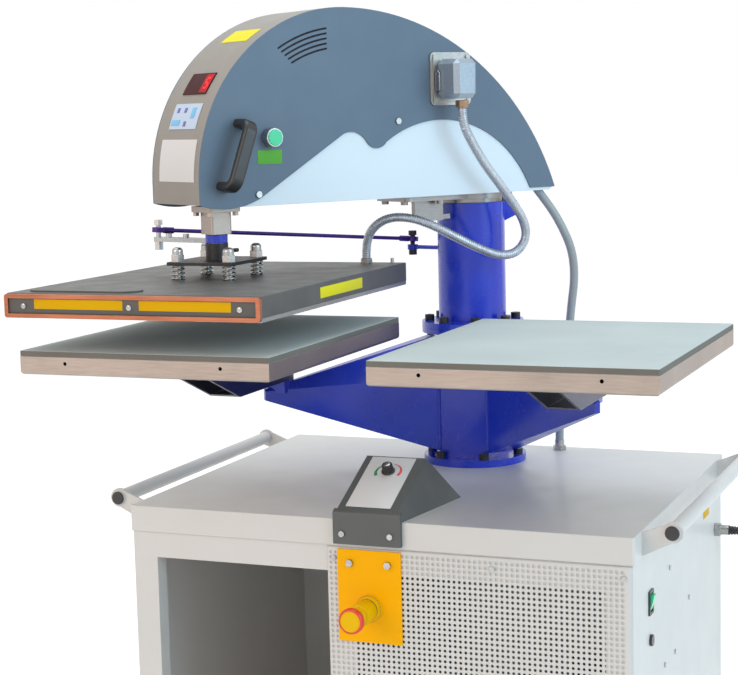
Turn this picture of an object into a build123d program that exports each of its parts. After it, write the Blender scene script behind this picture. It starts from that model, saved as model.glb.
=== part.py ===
"""Dual station swing heat press on a cabinet trolley.

The row frame: +X to the operator's right, +Y to the back, +Z up. The origin is on the floor, under
the middle of the machine. The swing head rests over the left station.
"""

import math
import os

from build123d import *

os.makedirs("parts", exist_ok=True)

# Cabinet
TOP_HEIGHT = 700.0
TOP_WIDTH = 794.0
TOP_DEPTH = 636.0
LIP = 40.0
SHEET = 2.0
BODY_INSET = 3.0
CASTOR_HEIGHT = 100.0
FRAME_POST = 40.0
POST_RETURN = 28.0
PANEL_EDGE_X = -67.0
FOOT_RAIL = 60.0

# Column, cradle and stations
COLUMN_TO_LIP = 492.5
COLUMN_R = 57.0
COLUMN_WALL = 8.0
COLUMN_RISE = 440.5
BASE_FLANGE_R = 87.0
BASE_FLANGE_T = 12.0
COLLAR_R = 86.0
COLLAR_T = 9.0
COLLAR_RISE = 222.0
STATION_X = 272.0
STATION_Y = 411.5

# Platens
PLATEN_W = 400.0
PLATEN_D = 500.0
PLATEN_RISE = 226.0
CHANNEL_RISE = 160.0
TRAY_T = 26.5
PAD_T = 9.5
HEAT_W = 406.0
HEAT_D = 560.0
HEAT_T = 36.0
PRESS_STROKE = 49.7
PRESS_GAP = 0.3

# Swing head
HEAD_HALF = 74.0
COVER_T = 2.5
STRIP_T = 3.0
HEAD_PEAK_D = 300.0
HEAD_PEAK_RISE = 755.0
NOSE_R = 261.0
BACK_R = 452.0
ARM_RISE = 457.0
ARM_PLATE = 6.0

# Fits
SLIP = 0.3
RUN = 0.03
FACE = 0.2

# The middle of the machine's box lies between the heat platen's front and the cabinet's back.
COLUMN_Y = (STATION_Y + HEAT_D / 2 - (TOP_DEPTH - COLUMN_TO_LIP)) / 2
FRONT_Y = COLUMN_Y - COLUMN_TO_LIP
BACK_Y = FRONT_Y + TOP_DEPTH
CABINET_Y = (FRONT_Y + BACK_Y) / 2
BODY_FRONT = FRONT_Y + BODY_INSET
BODY_W = TOP_WIDTH - 2 * BODY_INSET
BODY_D = TOP_DEPTH - 2 * BODY_INSET
BODY_TOP = TOP_HEIGHT - SHEET
BODY_H = BODY_TOP - CASTOR_HEIGHT
ARM_REACH = math.hypot(STATION_X, STATION_Y)
HEAD_TURN = math.degrees(math.atan2(STATION_X, STATION_Y))
HEAT_BASE = TOP_HEIGHT + PLATEN_RISE + TRAY_T + PAD_T + PRESS_STROKE + PRESS_GAP
HEAT_TOP = HEAT_BASE + HEAT_T
STATION_CENTRE_Y = COLUMN_Y - STATION_Y

AHEAD = Vector(-math.sin(math.radians(HEAD_TURN)), -math.cos(math.radians(HEAD_TURN)), 0)
RIGHT = Vector(-AHEAD.Y, AHEAD.X, 0)
UP = Vector(0, 0, 1)
COLUMN_FOOT = Vector(0, COLUMN_Y, TOP_HEIGHT)


def rise(height):
    """A height measured up from the cabinet's top."""
    return TOP_HEIGHT + height


def arm_point(ahead, right, height):
    """A point given along the arm, to its right, and above the cabinet's top."""
    return COLUMN_FOOT + AHEAD * ahead + RIGHT * right + UP * height


def arm_top(height, ahead=0.0, right=0.0):
    """A level plane with x along the arm and y to its right."""
    return Plane(arm_point(ahead, right, height), x_dir=AHEAD, z_dir=UP)


def arm_side(right, ahead=0.0, height=0.0):
    """An upright plane with x along the arm and y up. Its normal points to the arm's left."""
    return Plane(arm_point(ahead, right, height), x_dir=AHEAD, z_dir=RIGHT * -1)


def level(x, y, z):
    return Plane((x, y, z))


def facing_front(x, y, z):
    """An upright plane with x to the right, y up, and its normal to the operator."""
    return Plane((x, y, z), x_dir=(1, 0, 0), z_dir=(0, -1, 0))


def facing_right(x, y, z):
    """An upright plane whose normal points along +X, with x to the back and y up."""
    return Plane((x, y, z), x_dir=(0, 1, 0), z_dir=(1, 0, 0))


def disc(plane, radius, length, mode=Mode.ADD):
    with BuildSketch(plane) as outline:
        Circle(radius)
    extrude(outline.sketch, amount=length, mode=mode)


def block(plane, width, depth, length, corner=0.0, mode=Mode.ADD):
    with BuildSketch(plane) as outline:
        if corner:
            RectangleRounded(width, depth, corner)
        else:
            Rectangle(width, depth)
    extrude(outline.sketch, amount=length, mode=mode)


def hexagon(plane, across_flats, length, mode=Mode.ADD):
    with BuildSketch(plane) as outline:
        RegularPolygon(across_flats / 2, 6, major_radius=False)
    extrude(outline.sketch, amount=length, mode=mode)


def ring(plane, outer, inner, length):
    with BuildSketch(plane) as outline:
        Circle(outer)
        Circle(inner, mode=Mode.SUBTRACT)
    extrude(outline.sketch, amount=length)


def slab(plane, points, length, mode=Mode.ADD):
    """A flat plate whose outline is a closed line through the points."""
    with BuildSketch(plane) as outline:
        with BuildLine():
            Polyline(*points, close=True)
        make_face()
    extrude(outline.sketch, amount=length, mode=mode)


def rod_between(start, end, radius):
    along = end - start
    with BuildSketch(Plane(start, z_dir=along.normalized())) as outline:
        Circle(radius)
    extrude(outline.sketch, amount=along.length)


def cap_bolt(plane, shank, head, head_length, length):
    """A socket head bolt: its head stands on the plane and its shank goes down through it."""
    disc(plane, head, head_length)
    disc(plane.offset(head_length - head_length / 2), head / 2, head_length / 2, Mode.SUBTRACT)
    disc(plane, shank, -length)


def write(builder, node):
    builder.part.label = node
    export_step(builder.part, f"parts/{node}.step")


# Cabinet body: welded sheet shell with an open left bay and a screened right bay.
BAY_TOP = TOP_HEIGHT - 2 * FRAME_POST
BAY_BOTTOM = CASTOR_HEIGHT + FOOT_RAIL
BAY_H = BAY_TOP - BAY_BOTTOM
BAY_MID = (BAY_TOP + BAY_BOTTOM) / 2
BODY_LEFT = -BODY_W / 2
BODY_RIGHT = BODY_W / 2
LEFT_BAY = (BODY_LEFT + FRAME_POST, PANEL_EDGE_X)
RIGHT_BAY = (PANEL_EDGE_X + FRAME_POST, BODY_RIGHT - FRAME_POST)
WALL_INSET = 3.0
WALL_X = PANEL_EDGE_X + WALL_INSET
INNER_DEPTH = BODY_D - 2 * SHEET
INNER_H = BODY_H - 2 * SHEET
ROOF_FRONT = 40.0
ROOF_BACK = 14.0
ROOF_SIDE = 40.0

ROCKER_Y = COLUMN_Y - 387.0
ROCKER_Z = rise(-119.0)
ROCKER_W = 26.0
ROCKER_H = 36.0
ROCKER_HOLE = (22.0, 31.0)
FUSE_Z = rise(-175.5)
FUSE_HOLE_R = 6.5
MAINS_Y = COLUMN_Y + 88.0
MAINS_Z = rise(-119.0)
MAINS_HOLE_R = 8.2
SIDE_SCREWS = ((-259.0, -99.7), (-122.0, -181.0), (-224.0, -240.0), (-295.0, -240.0))
PANEL_LEFT = PANEL_EDGE_X
PANEL_T = 1.5
PANEL_TOP = TOP_HEIGHT - LIP - 2.5
PANEL_BOTTOM = CASTOR_HEIGHT + 12.0
PANEL_SCREW_R = 2.0
PANEL_SCREWS = tuple(
    (x, z)
    for z in (PANEL_TOP - 17.0, BAY_MID, PANEL_BOTTOM + 17.0)
    for x in (PANEL_LEFT + 10.0, 189.0, BODY_RIGHT - 12.0)
    if not (z == BAY_MID and x == 189.0)
)

with BuildPart() as cabinet_body:
    block(level(0, CABINET_Y, CASTOR_HEIGHT), BODY_W, BODY_D, BODY_H)
    for low, high in ((BODY_LEFT + SHEET, WALL_X), (WALL_X + SHEET, BODY_RIGHT - SHEET)):
        block(
            level((low + high) / 2, CABINET_Y, CASTOR_HEIGHT + SHEET),
            high - low, INNER_DEPTH, INNER_H, mode=Mode.SUBTRACT,
        )
    roof_depth = BODY_D - ROOF_FRONT - ROOF_BACK
    roof_y = BODY_FRONT + ROOF_FRONT + roof_depth / 2
    block(
        level(0, roof_y, BODY_TOP - SHEET), BODY_W - 2 * ROOF_SIDE, roof_depth, SHEET, mode=Mode.SUBTRACT,
    )
    for low, high in (LEFT_BAY, RIGHT_BAY):
        middle = (low + high) / 2
        block(
            facing_front(middle, BODY_FRONT + POST_RETURN, BAY_MID),
            high - low + 2 * SHEET, BAY_H + 2 * SHEET, POST_RETURN,
        )
        block(
            facing_front(middle, BODY_FRONT + POST_RETURN + SHEET, BAY_MID),
            high - low, BAY_H, POST_RETURN + 2 * SHEET, mode=Mode.SUBTRACT,
        )
    side = facing_right(BODY_RIGHT - 2 * SHEET, ROCKER_Y, ROCKER_Z)
    block(side, *ROCKER_HOLE, 4 * SHEET, mode=Mode.SUBTRACT)
    disc(facing_right(BODY_RIGHT - 2 * SHEET, ROCKER_Y, FUSE_Z), FUSE_HOLE_R, 4 * SHEET, Mode.SUBTRACT)
    disc(facing_right(BODY_RIGHT - 2 * SHEET, MAINS_Y, MAINS_Z), MAINS_HOLE_R, 4 * SHEET, Mode.SUBTRACT)
    for across, up in SIDE_SCREWS:
        hole = facing_right(BODY_RIGHT - 2 * SHEET, COLUMN_Y + across, rise(up))
        disc(hole, PANEL_SCREW_R, 4 * SHEET, Mode.SUBTRACT)
    for x, z in PANEL_SCREWS:
        disc(facing_front(x, BODY_FRONT + 2 * SHEET, z), PANEL_SCREW_R, 3 * SHEET, Mode.SUBTRACT)
write(cabinet_body, "cabinet_body")

with BuildPart() as perforated_panel:
    panel_w = BODY_RIGHT - PANEL_LEFT
    panel_h = PANEL_TOP - PANEL_BOTTOM
    centre = facing_front((PANEL_LEFT + BODY_RIGHT) / 2, BODY_FRONT, (PANEL_TOP + PANEL_BOTTOM) / 2)
    block(centre, panel_w, panel_h, PANEL_T)
    for x, z in PANEL_SCREWS:
        disc(facing_front(x, BODY_FRONT, z), PANEL_SCREW_R, PANEL_T, Mode.SUBTRACT)
write(perforated_panel, "perforated_panel")

REAR_HOSE_FOOT = Vector(118.0, COLUMN_Y + 112.0, TOP_HEIGHT)
GLAND_HOLE_R = 8.2
BASE_BOLTS = 6
BASE_BOLT_R = 77.0
BOLT_R = 5.0
BOLT_HOLE_R = 5.3
COLLAR_BOLTS = 8
COLLAR_BOLT_R = 73.0
THREAD_DEPTH = 8.0


def around_column(radius, turn, height):
    angle = math.radians(turn)
    return (radius * math.cos(angle), COLUMN_Y + radius * math.sin(angle), rise(height))


base_bolt_turns = [360 / BASE_BOLTS * i for i in range(BASE_BOLTS)]
collar_bolt_turns = [360 / COLLAR_BOLTS * (i + 0.5) for i in range(COLLAR_BOLTS)]

BAR_OUT = 44.0
BAR_R = 11.0
BAR_WALL = 2.0
BAR_LENGTH = 556.0
BRACKET_T = 4.0
BRACKET_INSET = 4.0
APRON_SCREWS = ((-39.0, -20.5), (37.0, -20.5))
ESTOP_BOLTS = ((-30.0, -65.0), (30.0, -65.0))

with BuildPart() as cabinet_top:
    block(level(0, CABINET_Y, TOP_HEIGHT - LIP), TOP_WIDTH, TOP_DEPTH, LIP)
    fillet(cabinet_top.edges().filter_by(Axis.Z), 4.0)
    fillet(cabinet_top.faces().sort_by(Axis.Z)[-1].edges(), 2.0)
    block(
        level(0, CABINET_Y, TOP_HEIGHT - LIP),
        TOP_WIDTH - 2 * SHEET, TOP_DEPTH - 2 * SHEET, LIP - SHEET, mode=Mode.SUBTRACT,
    )
    for turn in base_bolt_turns:
        spot = Plane(around_column(BASE_BOLT_R, turn, -2 * SHEET))
        disc(spot, BOLT_HOLE_R, 3 * SHEET, Mode.SUBTRACT)
    disc(Plane(REAR_HOSE_FOOT - UP * 2 * SHEET), GLAND_HOLE_R, 3 * SHEET, Mode.SUBTRACT)
    for x, z in APRON_SCREWS:
        disc(facing_front(x, FRONT_Y + 2 * SHEET, rise(z)), PANEL_SCREW_R, 3 * SHEET, Mode.SUBTRACT)
write(cabinet_top, "cabinet_top")

# Push bars: a tube along each side, between two welded plates, closed by plugs.
with BuildPart() as push_bars:
    for side_sign in (-1, 1):
        bar_x = side_sign * (TOP_WIDTH / 2 + BAR_OUT)
        lip_x = side_sign * TOP_WIDTH / 2
        start_y = CABINET_Y - BAR_LENGTH / 2
        with BuildSketch(facing_front(bar_x, start_y + BAR_LENGTH, TOP_HEIGHT)) as tube:
            Circle(BAR_R)
            Circle(BAR_R - BAR_WALL, mode=Mode.SUBTRACT)
        extrude(tube.sketch, amount=BAR_LENGTH)
        for y in (start_y + BRACKET_INSET + BRACKET_T, start_y + BAR_LENGTH - BRACKET_INSET):
            with BuildSketch(facing_front(0, y, TOP_HEIGHT)) as plate:
                with Locations((bar_x, 0)):
                    Circle(BAR_R + 4.0)
                with BuildLine():
                    Polyline(
                        (lip_x, -LIP + 4.0), (lip_x, -3.0),
                        (bar_x, BAR_R + 3.6), (bar_x, -BAR_R - 3.6), close=True,
                    )
                make_face()
                with Locations((bar_x, 0)):
                    Circle(BAR_R, mode=Mode.SUBTRACT)
            extrude(plate.sketch, amount=BRACKET_T)
        for y in (start_y + BAR_LENGTH, start_y + BAR_R):
            disc(facing_front(bar_x, y, TOP_HEIGHT), BAR_R - BAR_WALL, BAR_R)
write(push_bars, "push_bars")

# Cradle: flanged box post with two hollow wings that carry the channels.
POST_W = 84.0
POST_D = 116.0
POST_WALL = 6.0
WING_WALL = 5.0
WING_ROOT = (42.0, 58.0)
WING_TIP = (277.0, 246.0)
WING_ROOT_DEPTH = 58.0
WING_TIP_DEPTH = 10.0
WING_HOLLOW = 0.8
WING_ROOT_BOTTOM = 22.0
WING_ROOT_TOP = 214.0
WING_TIP_BOTTOM = 129.0
WING_TIP_TOP = 147.0
WING_ROOT_FOLD = 149.0
WING_TIP_FOLD = 144.0
WING_ROOT_LEAN = 30.0
WING_TIP_LEAN = 4.0
SADDLE_X = 262.0
SADDLE_W = 30.0
SADDLE_D = 36.0
SADDLE_T = 20.0
SADDLE_Y = 217.0


def wing_section(side_sign, share, inset):
    """The wing's section at a share of the way from the post to the tip, drawn in its own plane."""
    run = Vector(WING_TIP[0] - WING_ROOT[0], -(WING_TIP[1] - WING_ROOT[1]), 0)
    start = Vector(WING_ROOT[0], COLUMN_Y - WING_ROOT[1], TOP_HEIGHT) + run * share
    start = Vector(start.X * side_sign, start.Y, start.Z)
    along = Vector(run.X * side_sign, run.Y, 0).normalized()
    back = Vector(-along.Y * side_sign, along.X * side_sign, 0)
    bottom = WING_ROOT_BOTTOM + (WING_TIP_BOTTOM - WING_ROOT_BOTTOM) * share + inset
    top = WING_ROOT_TOP + (WING_TIP_TOP - WING_ROOT_TOP) * share - inset
    fold = WING_ROOT_FOLD + (WING_TIP_FOLD - WING_ROOT_FOLD) * share - inset / 2
    lean = WING_ROOT_LEAN + (WING_TIP_LEAN - WING_ROOT_LEAN) * share
    far = WING_ROOT_DEPTH + (WING_TIP_DEPTH - WING_ROOT_DEPTH) * share - inset
    plane = Plane(start, x_dir=back, z_dir=back.cross(UP))
    with BuildSketch(plane) as section:
        with BuildLine():
            Polyline(
                (inset, bottom), (inset, fold), (lean, top), (far, top), (far, bottom), close=True,
            )
        make_face()
    return section.sketch


with BuildPart() as cradle:
    for side_sign in (-1, 1):
        loft([wing_section(side_sign, share, 0.0) for share in (-0.02, 1.0)], ruled=True)
    block(level(0, COLUMN_Y, rise(BASE_FLANGE_T)), POST_W, POST_D, COLLAR_RISE - BASE_FLANGE_T)
    for side_sign in (-1, 1):
        sections = [wing_section(side_sign, share, WING_WALL) for share in (0.0, WING_HOLLOW)]
        loft(sections, ruled=True, mode=Mode.SUBTRACT)
    block(
        level(0, COLUMN_Y, rise(BASE_FLANGE_T)),
        POST_W - 2 * POST_WALL, POST_D - 2 * POST_WALL, COLLAR_RISE - BASE_FLANGE_T, mode=Mode.SUBTRACT,
    )
    for side_sign in (-1, 1):
        saddle = level(side_sign * SADDLE_X, COLUMN_Y - SADDLE_Y, rise(CHANNEL_RISE - SADDLE_T))
        block(saddle, SADDLE_W, SADDLE_D, SADDLE_T)
    disc(level(0, COLUMN_Y, TOP_HEIGHT), BASE_FLANGE_R, BASE_FLANGE_T)
    disc(level(0, COLUMN_Y, rise(COLLAR_RISE)), COLLAR_R, COLLAR_T)
    for turn in base_bolt_turns:
        disc(Plane(around_column(BASE_BOLT_R, turn, 0)), BOLT_HOLE_R, BASE_FLANGE_T, Mode.SUBTRACT)
    for turn in collar_bolt_turns:
        spot = Plane(around_column(COLLAR_BOLT_R, turn, COLLAR_RISE - THREAD_DEPTH))
        disc(spot, BOLT_HOLE_R, THREAD_DEPTH + COLLAR_T, Mode.SUBTRACT)
    disc(level(0, COLUMN_Y, rise(COLLAR_RISE)), COLUMN_R - COLUMN_WALL, COLLAR_T, Mode.SUBTRACT)
write(cradle, "cradle")

# Column: bolted tube with two stop ears and the arm that holds the link's pin.
COLUMN_FOOT_RISE = COLLAR_RISE + COLLAR_T
COLUMN_FLANGE_T = 10.0
BEARING_R = COLUMN_R - COLUMN_WALL
LINK_OFFSET = Vector(-118.0, 32.0, 0)
PIVOT_D_RISE = 375.0
PIVOT_C_RISE = 418.0
ANCHOR_RISE = 361.0
ANCHOR_EYE_R = 9.0
ANCHOR_EYE_T = 9.0
PIN_R = 4.0
STOP_TURN = 61.0
STOP_REACH = 79.0
STOP_HALF = 6.0
STOP_TOP = 440.0
STOP_BOTTOM = 405.0
anchor_point = COLUMN_FOOT + LINK_OFFSET + UP * ANCHOR_RISE
anchor_way = LINK_OFFSET.normalized()

with BuildPart() as column:
    disc(level(0, COLUMN_Y, rise(COLUMN_FOOT_RISE)), COLLAR_R, COLUMN_FLANGE_T)
    disc(level(0, COLUMN_Y, rise(COLUMN_FOOT_RISE)), COLUMN_R, COLUMN_RISE - COLUMN_FOOT_RISE)
    for turn in (90 - STOP_TURN, 90 + STOP_TURN):
        out = Vector(math.cos(math.radians(turn)), math.sin(math.radians(turn)), 0)
        ear = Plane(COLUMN_FOOT - out.cross(UP) * STOP_HALF, x_dir=out, z_dir=out.cross(UP))
        slab(
            ear,
            ((COLUMN_R - COLUMN_WALL / 2, STOP_TOP), (STOP_REACH, STOP_TOP),
             (STOP_REACH, STOP_BOTTOM + 12), (COLUMN_R - COLUMN_WALL / 2, STOP_BOTTOM)),
            2 * STOP_HALF,
        )
    rod_between(COLUMN_FOOT + anchor_way * (COLUMN_R - 4) + UP * ANCHOR_RISE, anchor_point, 3.5)
    disc(Plane(anchor_point - UP * ANCHOR_EYE_T / 2), ANCHOR_EYE_R, ANCHOR_EYE_T)
    disc(Plane(anchor_point - UP * ANCHOR_EYE_T), PIN_R + RUN, 2 * ANCHOR_EYE_T, Mode.SUBTRACT)
    disc(level(0, COLUMN_Y, rise(COLUMN_FOOT_RISE)), BEARING_R, COLUMN_RISE, Mode.SUBTRACT)
    for turn in collar_bolt_turns:
        spot = Plane(around_column(COLLAR_BOLT_R, turn, COLUMN_FOOT_RISE))
        disc(spot, BOLT_HOLE_R, COLUMN_FLANGE_T, Mode.SUBTRACT)
write(column, "column")

with BuildPart() as column_bolts:
    for turn in base_bolt_turns:
        spot = Plane(around_column(BASE_BOLT_R, turn, BASE_FLANGE_T))
        cap_bolt(spot, BOLT_R, 8.0, 10.0, BASE_FLANGE_T + SHEET + 10)
        disc(Plane(around_column(BASE_BOLT_R, turn, -SHEET - 8)), 8.5, 8.0)
    for turn in collar_bolt_turns:
        spot = Plane(around_column(COLLAR_BOLT_R, turn, COLUMN_FOOT_RISE + COLUMN_FLANGE_T))
        cap_bolt(spot, BOLT_R, 8.0, 10.0, COLUMN_FLANGE_T + COLLAR_T + 6)
    pin_low = COLUMN_FOOT + LINK_OFFSET + UP * (ANCHOR_RISE - ANCHOR_EYE_T / 2)
    disc(Plane(pin_low - UP * 2), PIN_R, PIVOT_D_RISE - ANCHOR_RISE + ANCHOR_EYE_T / 2 + 9)
    for bottom, length in ((ANCHOR_RISE - ANCHOR_EYE_T / 2 - 9, 9.0), (PIVOT_D_RISE + 6.2, 8.0)):
        hexagon(Plane(COLUMN_FOOT + LINK_OFFSET + UP * bottom), 13.0, length)
write(column_bolts, "column_bolts")

BEARING_H = 24.0
SHAFT_R = 25.0
THRUST_T = ARM_RISE - 9.0 - COLUMN_RISE - 2 * FACE
with BuildPart() as column_bearings:
    for bottom in (COLUMN_FOOT_RISE + 6, COLUMN_RISE - 2 * BEARING_H):
        ring(level(0, COLUMN_Y, rise(bottom)), BEARING_R, SHAFT_R + RUN, BEARING_H)
    ring(level(0, COLUMN_Y, rise(COLUMN_RISE + FACE / 2)), COLUMN_R - 4, SHAFT_R + 6, THRUST_T)
write(column_bearings, "column_bearings")

# Channels, trays and pads of the two stations.
CHANNEL_W = 52.0
CHANNEL_WALL = 4.0
CHANNEL_TOP = PLATEN_RISE
CHANNEL_TOE = 562.0
CHANNEL_HEEL = 200.0
CHANNEL_BEVEL = 400.0
STATIONS = (-STATION_X, STATION_X)
with BuildPart() as platen_channels:
    for x in STATIONS:
        outline = (
            (COLUMN_Y - CHANNEL_TOE, CHANNEL_TOP), (COLUMN_Y - CHANNEL_BEVEL, CHANNEL_RISE),
            (COLUMN_Y - CHANNEL_HEEL, CHANNEL_RISE), (COLUMN_Y - CHANNEL_HEEL, CHANNEL_TOP),
        )
        slab(facing_right(x - CHANNEL_W / 2, 0, TOP_HEIGHT), outline, CHANNEL_W)
        block(
            facing_front(x, COLUMN_Y, rise(CHANNEL_RISE + CHANNEL_WALL + 50)),
            CHANNEL_W - 2 * CHANNEL_WALL, 100.0, 600.0, mode=Mode.SUBTRACT,
        )
write(platen_channels, "platen_channels")

TRAY_WALL = 3.0
TRAY_HOLE_X = 125.0
TRAY_HOLE_R = 2.8
TRAY_HOLE_RISE = 17.5


def tray(x):
    """One station's aluminium tray: rounded below, open wells above and two holes in its front."""
    base = level(x, STATION_CENTRE_Y, rise(PLATEN_RISE))
    with BuildPart() as pan:
        block(base, PLATEN_W, PLATEN_D, TRAY_T)
        fillet(pan.edges().group_by(Axis.Z)[0], 5.0)
        with BuildSketch(base.offset(TRAY_WALL)) as wells:
            with GridLocations(PLATEN_W / 2 - TRAY_WALL / 2, PLATEN_D / 2 - TRAY_WALL / 2, 2, 2):
                Rectangle(PLATEN_W / 2 - 1.5 * TRAY_WALL, PLATEN_D / 2 - 1.5 * TRAY_WALL)
        extrude(wells.sketch, amount=TRAY_T, mode=Mode.SUBTRACT)
        for hole_x in (-TRAY_HOLE_X, TRAY_HOLE_X):
            inside = STATION_CENTRE_Y - PLATEN_D / 2 + TRAY_WALL + 1
            face = facing_front(x + hole_x, inside, rise(PLATEN_RISE + TRAY_HOLE_RISE))
            disc(face, TRAY_HOLE_R, TRAY_WALL + 2, Mode.SUBTRACT)
    return pan.part


with BuildPart() as lower_platens:
    add([tray(x) for x in STATIONS])
write(lower_platens, "lower_platens")

with BuildPart() as platen_pads:
    for x in STATIONS:
        block(level(x, STATION_CENTRE_Y, rise(PLATEN_RISE + TRAY_T)), PLATEN_W, PLATEN_D, PAD_T, corner=2.0)
    fillet(platen_pads.faces().filter_by(Plane.XY).sort_by(Axis.Z)[-2:].edges(), 1.0)
write(platen_pads, "platen_pads")

# Control wedge with its knob.
BOX_W = 106.0
BOX_RIDGE_W = 96.0
BOX_HEEL_W = 158.0
BOX_PROUD = 8.0
BOX_APRON = 36.0
BOX_NOSE = 12.0
BOX_RIDGE = 72.0
BOX_RIDGE_Y = 129.0
BOX_HEEL_Y = 196.0
BOX_WALL = 2.0
KNOB_BACK = 94.0
KNOB_R = 8.5
KNOB_H = 12.0
KNOB_SKIRT = 3.0
KNOB_SHAFT_R = 3.0
slope = math.atan2(BOX_RIDGE - BOX_NOSE, BOX_RIDGE_Y)
slope_y = -math.sin(slope)
slope_z = math.cos(slope)
box_front = FRONT_Y - BOX_PROUD


def on_slope(back, proud=0.0):
    """A plane on the wedge's sloping face, a distance back from its front edge along +Y."""
    spot = Vector(0, box_front + back, rise(BOX_NOSE + back * math.tan(slope)))
    normal = Vector(0, slope_y, slope_z)
    return Plane(spot + normal * proud, x_dir=(1, 0, 0), z_dir=normal)


def lid_height(y, inset):
    """How high the wedge's sloping sheet, set in by a distance, stands over a place along Y."""
    return BOX_NOSE + (y - box_front) * math.tan(slope) - inset / slope_z


def apron(inset):
    """The hanging front of the wedge, as far back as the cabinet's front."""
    outline = (
        (box_front + inset, -BOX_APRON), (box_front + inset, lid_height(box_front + inset, inset)),
        (FRONT_Y, lid_height(FRONT_Y, inset)), (FRONT_Y, -BOX_APRON),
    )
    with BuildPart() as front_part:
        slab(facing_right(-BOX_W / 2 + inset, 0, TOP_HEIGHT), outline, BOX_W - 2 * inset)
    return front_part.part


def hood(inset):
    """The wedge above the cabinet's top, whose sides lean out towards the heel."""
    heel = math.atan2(BOX_RIDGE, BOX_HEEL_Y - BOX_RIDGE_Y)
    ridge_y = box_front + BOX_RIDGE_Y
    outline = (
        (box_front + inset, 0.0), (box_front + inset, lid_height(box_front + inset, inset)),
        (ridge_y, lid_height(ridge_y, inset)),
        (box_front + BOX_HEEL_Y - inset / math.sin(heel), 0.0),
    )
    with BuildPart() as body:
        slab(facing_right(-BOX_HEEL_W / 2, 0, TOP_HEIGHT), outline, BOX_HEEL_W)
        for side_sign in (-1, 1):
            low = Vector(side_sign * BOX_W / 2, FRONT_Y, TOP_HEIGHT)
            ridge = Vector(side_sign * BOX_RIDGE_W / 2, ridge_y, rise(BOX_RIDGE))
            corner = Vector(side_sign * BOX_HEEL_W / 2, box_front + BOX_HEEL_Y, TOP_HEIGHT)
            outward = (corner - low).cross(ridge - low).normalized() * side_sign
            split(bisect_by=Plane(low - outward * inset, z_dir=outward), keep=Keep.BOTTOM)
    return body.part


with BuildPart() as control_box:
    add(apron(0.0))
    add(hood(0.0))
    nose_edges = control_box.edges().filter_by(Axis.X).group_by(Axis.Y)[0].sort_by(Axis.Z)
    fillet(nose_edges[-1], 5.0)
    add(apron(BOX_WALL), mode=Mode.SUBTRACT)
    add(hood(BOX_WALL), mode=Mode.SUBTRACT)
    block(level(0, FRONT_Y - BOX_PROUD / 2, rise(-BOX_APRON)), BOX_W, BOX_PROUD, BOX_WALL)
    for x, z in APRON_SCREWS:
        disc(facing_front(x, box_front + BOX_WALL, rise(z)), PANEL_SCREW_R, BOX_WALL, Mode.SUBTRACT)
    disc(on_slope(KNOB_BACK, -12), 6.0, 12.0)
    disc(on_slope(KNOB_BACK, -14), KNOB_SHAFT_R + 0.05, 20.0, Mode.SUBTRACT)
write(control_box, "control_box")

with BuildPart() as pressure_knob:
    disc(on_slope(KNOB_BACK, 0.4), KNOB_R + 2, KNOB_SKIRT)
    disc(on_slope(KNOB_BACK, 0.4 + KNOB_SKIRT), KNOB_R, KNOB_H)
    fillet(pressure_knob.edges().filter_by(GeomType.CIRCLE).sort_by(Axis.Z)[-1], 1.5)
    disc(on_slope(KNOB_BACK, -13), KNOB_SHAFT_R, 14.0)
    slab(on_slope(KNOB_BACK, 0.4), ((-1.2, KNOB_R), (0, KNOB_R + 4), (1.2, KNOB_R)), KNOB_SKIRT)
write(pressure_knob, "pressure_knob")

# Emergency stop: plate, collar, plunger and mushroom.
PLATE_W = 100.0
PLATE_T = 2.5
PLATE_TOP = -45.0
PLATE_LOW = -184.0
ESTOP_RISE = -131.5
COLLAR_OUT = 17.0
SLEEVE_OUT = 46.0
NECK_OUT = 56.0
MUSHROOM_OUT = 63.0
NECK_R = 13.0
PLUNGER_R = 9.0
MUSHROOM_R = 19.0
plate_y = BODY_FRONT - PANEL_T
with BuildPart() as estop_plate:
    middle = facing_front(0, plate_y, rise((PLATE_TOP + PLATE_LOW) / 2))
    block(middle, PLATE_W, PLATE_TOP - PLATE_LOW, PLATE_T)
    disc(facing_front(0, plate_y, rise(ESTOP_RISE)), 11.0, PLATE_T, Mode.SUBTRACT)
    for x, z in ESTOP_BOLTS:
        disc(facing_front(x, plate_y, rise(z)), PANEL_SCREW_R, PLATE_T, Mode.SUBTRACT)
write(estop_plate, "estop_plate")

front = facing_front(0, plate_y - PLATE_T, rise(ESTOP_RISE))
with BuildPart() as estop_plunger:
    disc(front.offset(2.0), PLUNGER_R, MUSHROOM_OUT - 2.0)
    disc(front.offset(MUSHROOM_OUT), 4.0, 10.0)
write(estop_plunger, "estop_plunger")

with BuildPart() as estop_button:
    disc(front.offset(MUSHROOM_OUT + FACE), NECK_R, 4.0)
    disc(front.offset(MUSHROOM_OUT + 4.0 + FACE), MUSHROOM_R, 10.0)
    fillet(estop_button.edges().filter_by(GeomType.CIRCLE).sort_by(Axis.Y)[0], 3.0)
    disc(front.offset(MUSHROOM_OUT), 4.0 + RUN, 10.2, Mode.SUBTRACT)
write(estop_button, "estop_button")

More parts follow.
